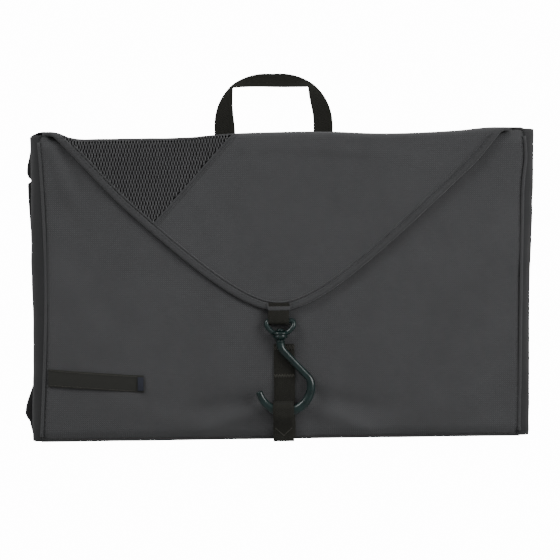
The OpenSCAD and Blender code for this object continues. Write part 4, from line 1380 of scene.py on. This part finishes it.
class BAG_OT_inner_pockets(bpy.types.Operator):
    """Finish the inside: pocket bands, mesh pocket faces, foam, lining and the divider"""
    bl_idname = "bag.inner_pockets"
    bl_label = "Inner Pockets"

    def execute(self, context):
        self.bands()
        sheets = (("rear", Y_BACK - 4.3, Y_BACK - 2.1, 1), ("front", Y_FRONT + 3.2, Y_FRONT + 4.4, -1))
        for name, y0, y1, out in sheets:
            lean = 0.0 if out > 0 else 1.0
            foam = self.slab(f"{name}_foam_sheet", (-168.0, y0, 6.0), (168.0, y1, 206.0), 0.4, lean)
            dressed(foam, "bag", finish_of("foam_sheet"), (f"{name}_foam",))
            yl = y0 - 0.7 if out > 0 else y1 + 0.2
            cover = self.slab(f"{name}_lining_cloth", (-170.0, yl, 5.0), (170.0, yl + 0.5, 208.0), 0.3, lean)
            dressed(cover, "bag", finish_of("dark_lining"), (f"{name}_lining",))
        self.flap_filling()
        for node in ("upper_mesh", "lower_mesh_left", "lower_mesh_right"):
            self.pocket_net(node)
        return {"FINISHED"}

    def bands(self):
        """The cloth that the zips and the pocket nets are sewn to, and the wall between the two front pockets."""
        tape_low, tape_high = node_mm("upper_zip_tape")
        side, top = 175.6, POCKET_TOP
        y0, y1 = node_mm("upper_band")[0][1], node_mm("upper_band")[1][1]
        parts = [((-side, tape_high[2] - 0.3), (side, top)), ((-side, tape_low[2]), (tape_low[0] + 0.5, tape_high[2])),
                 ((tape_high[0] - 0.5, tape_low[2]), (side, tape_high[2]))]
        self.band("upper_band_cloth", parts, y0, y1, "upper_band")
        left_low, left_high = node_mm("left_zip_tape")
        right_low, right_high = node_mm("right_zip_tape")
        y0, y1 = node_mm("lower_band")[0][1], node_mm("lower_band")[1][1]
        parts = [((-side, 3.2), (side, left_low[2] + 0.3)),
                 ((left_high[0] - 0.5, left_low[2]), (right_low[0] + 0.5, top)),
                 ((-side, left_low[2]), (left_low[0] + 0.5, left_high[2])),
                 ((right_high[0] - 0.5, left_low[2]), (side, left_high[2]))]
        self.band("lower_band_cloth", parts, y0, y1, "lower_band")
        low, high = node_mm("pocket_divider")
        rows = []
        for r in range(41):
            z = low[2] + (high[2] - 6.5 - low[2]) * r / 40
            rows.append([((low[0] + high[0]) / 2 + 0.5 + 1.3 * math.sin(math.pi * c / 8) * drift(3.0, z, 40, 71.0),
                          low[1] + 0.6 + (high[1] - 0.2 - low[1] - 0.6) * c / 8, z) for c in range(9)])
        wall = outward(thick(lattice("pocket_divider_cloth", rows), 1.0, -1.0, 0.15))
        dressed(wall, "bag", finish_of("dark_lining"), ("pocket_divider",))

    def band(self, name, parts, y0, y1, node):
        pieces = [self.slab(f"{name}_{n}", (a[0], y0, a[1]), (b[0], y1, b[1]), 0.5) for n, (a, b) in enumerate(parts)]
        dressed(joined(name, pieces), "bag", finish_of("ripstop_shell"), (node,))

    def slab(self, name, low, high, wave, lean=0.0):
        """A soft sheet that fills its place, a little uneven."""
        rows = []
        for r in range(25):
            z = low[2] + (high[2] - low[2]) * r / 24
            rows.append([(x, low[1] + wave * drift(x, z, 45, 61.0) * (high[1] - low[1]) * 0.5 + lean * tuck(z), z)
                         for x in [low[0] + (high[0] - low[0]) * c / 40 for c in range(41)]])
        return outward(thick(lattice(name, rows), high[1] - low[1], -1.0, min(0.2, (high[1] - low[1]) * 0.4)))

    def flap_filling(self):
        """The thin foam between the flap's cloth and its lining."""
        rows = [[] for _ in range(21)]
        for c in range(91):
            x = -66.0 + 200.0 * c / 90
            start = flap_z(x) + 10.0 + abs(x) * 0.06
            stop = max(start + 0.05, min(TOP - 8.0, TOP - 8.0 if x > NET_TOP_X else net_seam_z(x) - 8.0))
            for r in range(21):
                zz = start + (stop - start) * r / 20
                rows[r].append((x, flap_y(x, zz, -1.05)[0], zz))
        foam = outward(thick(lattice("flap_foam_sheet", rows), 0.4, -1.0))
        dressed(foam, ("top_strip", "flap"), finish_of("foam_sheet"), ("flap_foam",), FLAP_BEND)

    def pocket_net(self, node):
        """A soft mesh pocket face: crossed strands in both slants."""
        low, high = node_mm(node)
        high[2] = min(high[2], POCKET_TOP)
        y = (low[1] + high[1]) / 2
        inward = -1 if y > 0 else 1
        top = 145.0 if y > 0 else high[2]

        def sag(px, pz):
            across = math.sin(math.pi * (px - low[0]) / (high[0] - low[0]))
            return 3.7 * inward * min(1.0, 1.6 * across) * ease((pz - low[2]) / 40) * ease((top - pz) / 34)

        step, half = 6.0, 0.42
        verts, faces = [], []
        wide, tall = high[0] - low[0], high[2] - low[2]
        for slant in (-1, 1):
            count = int((wide + tall) / step)
            for k in range(1, count):
                off = k * step
                from_x, to_x = max(low[0], low[0] + off - tall), min(high[0], low[0] + off)
                short, past = max(0.0, tall - off), max(0.0, off - wide)
                if slant > 0:
                    a, b = (from_x, high[2] - short), (to_x, low[2] + past)
                else:
                    a, b = (from_x, low[2] + short), (to_x, high[2] - past)
                dx, dz = b[0] - a[0], b[1] - a[1]
                long = math.hypot(dx, dz)
                if long < 4:
                    continue
                nx, nz = -dz / long * half, dx / long * half
                base, cuts = len(verts), max(2, int(long / 18) + 1)
                for cut in range(cuts):
                    px, pz = a[0] + dx * cut / (cuts - 1), a[1] + dz * cut / (cuts - 1)
                    yo = y + slant * 0.12 + sag(px, pz)
                    verts += [(px - nx, yo, pz - nz), (px, yo - 0.3, pz), (px + nx, yo, pz + nz), (px, yo + 0.3, pz)]
                faces += lattice_faces(cuts, 4, False, True, base)
                last = base + 4 * (cuts - 1)
                faces += [tuple(base + m for m in (3, 2, 1, 0)), tuple(last + m for m in (0, 1, 2, 3))]
        x0, x1, z0, z1 = low[0] + 1, high[0] - 1, low[2] + 1, high[2] - 1
        rim = [(x0, y, z0), (x1, y, z0), (x1, y, z1), (x0, y, z1)]
        edge = sweep(node + "_rim", rim, ring_section(0.7, 8), closed=True)
        net = outward(new_mesh(node + "_net", verts, faces, False))
        dressed(joined(node + "_face", [net, edge]), "bag", finish_of("knitted_net"), (node,))


# ---------------------------------------------------------------- stage


class BAG_OT_stage(bpy.types.Operator):
    """Set the pale floor, the soft studio light and the camera"""
    bl_idname = "bag.stage"
    bl_label = "Stage"

    def execute(self, context):
        scene, stage = context.scene, context.scene.bag_stage
        camera = bpy.data.objects.new("camera", bpy.data.cameras.new("camera"))
        scene.collection.objects.link(camera)
        distance = 2.6
        camera.location = (-0.0002, -distance, 0.1144)
        camera.rotation_euler = (math.radians(90), math.radians(0.8), 0)
        camera.data.sensor_width = 36
        camera.data.lens = 36 * (distance - 0.022) / 0.4004
        camera.data.clip_end = 60
        scene.camera = camera
        spread = (-3000.0, -900.0, 900.0, 3000.0)
        floor = lattice("floor", [[(x, y, -stage.floor_drop / MM) for x in spread] for y in spread])
        mat, tree, shader = material("pale_floor")
        tuned(shader, Base_Color=(0.4, 0.4, 0.4, 1), Roughness=0.9, Emission_Color=(1, 1, 1, 1))
        spot = tree.nodes.new("ShaderNodeSeparateXYZ")
        tree.links.new(tree.nodes.new("ShaderNodeTexCoord").outputs["Object"], spot.inputs[0])
        across = maths(tree, "POWER", spot.outputs["X"], 2.0)
        reach = maths(tree, "SQRT", maths(tree, "ADD", across, maths(tree, "POWER", spot.outputs["Y"], 2.0)))
        past = maths(tree, "MAXIMUM", maths(tree, "SUBTRACT", reach, 0.5), 0.0)
        fade = maths(tree, "MINIMUM", maths(tree, "DIVIDE", past, 2.2), 1.0)
        seen = tree.nodes.new("ShaderNodeLightPath").outputs["Is Camera Ray"]
        glow = maths(tree, "MULTIPLY", maths(tree, "MULTIPLY", maths(tree, "POWER", fade, 1.6), 14.0), seen)
        tree.links.new(maths(tree, "ADD", glow, maths(tree, "MULTIPLY", seen, 0.8)), shader.inputs["Emission Strength"])
        floor.data.materials.append(mat)
        self.light("key", (-1.35, -1.15, 1.7), (0, 0, 0.12), 0.9, stage.key_power)
        self.light("fill", (1.5, -1.3, 0.7), (0, 0, 0.1), 1.2, stage.fill_power)
        self.light("back", (0.5, 1.8, 1.3), (0, 0, 0.12), 1.2, stage.fill_power * 0.6)
        world = scene.world or bpy.data.worlds.new("world")
        scene.world = world
        world.use_nodes = True
        tree = world.node_tree
        sky = tree.nodes["Background"]
        sky.inputs["Color"].default_value = (1, 1, 1, 1)
        seen = tree.nodes.new("ShaderNodeLightPath").outputs["Is Camera Ray"]
        way = tree.nodes.new("ShaderNodeSeparateXYZ")
        tree.links.new(tree.nodes.new("ShaderNodeTexCoord").outputs["Generated"], way.inputs[0])
        around = maths(tree, "ADD", maths(tree, "MULTIPLY", way.outputs["Z"], stage.ambient * 0.6), stage.ambient)
        level = maths(tree, "ADD", maths(tree, "MULTIPLY", seen, 14.0), around)
        tree.links.new(level, sky.inputs["Strength"])
        return {"FINISHED"}

    def light(self, name, place, target, size, power):
        lamp = bpy.data.lights.new(name, "AREA")
        lamp.shape, lamp.size, lamp.energy = "DISK", size, power
        obj = bpy.data.objects.new(name, lamp)
        bpy.context.scene.collection.objects.link(obj)
        obj.location = place
        obj.rotation_euler = (Vector(target) - Vector(place)).to_track_quat("-Z", "Y").to_euler()


# ---------------------------------------------------------------- add-on


OPERATORS = (BAG_OT_stage, BAG_OT_rear_section, BAG_OT_front_section, BAG_OT_flap, BAG_OT_mesh_corner, BAG_OT_webbing,
             BAG_OT_carry_handle, BAG_OT_swivel_hook, BAG_OT_zips, BAG_OT_inner_pockets)


class BAG_PT_panel(bpy.types.Panel):
    """The bag's pieces and their sizes"""
    bl_idname = "BAG_PT_panel"
    bl_label = "Toiletry Bag"
    bl_space_type = "VIEW_3D"
    bl_region_type = "UI"
    bl_category = "Toiletry Bag"

    def draw(self, context):
        for key, group in GROUPS.items():
            box = self.layout.box()
            for prop in group.__annotations__:
                box.prop(getattr(context.scene, key), prop)
        for operator in OPERATORS:
            self.layout.operator(operator.bl_idname)


def register():
    for key, group in GROUPS.items():
        bpy.utils.register_class(group)
        setattr(bpy.types.Scene, key, bpy.props.PointerProperty(type=group))
    for cls in OPERATORS + (BAG_PT_panel,):
        bpy.utils.register_class(cls)


def unregister():
    for cls in reversed(OPERATORS + (BAG_PT_panel,)):
        bpy.utils.unregister_class(cls)
    for key, group in reversed(list(GROUPS.items())):
        delattr(bpy.types.Scene, key)
        bpy.utils.unregister_class(group)


def main():
    register()
    for operator in OPERATORS:
        getattr(bpy.ops.bag, operator.bl_idname.split(".")[1])()
    bpy.context.view_layer.update()


if __name__ == "__main__":
    main()
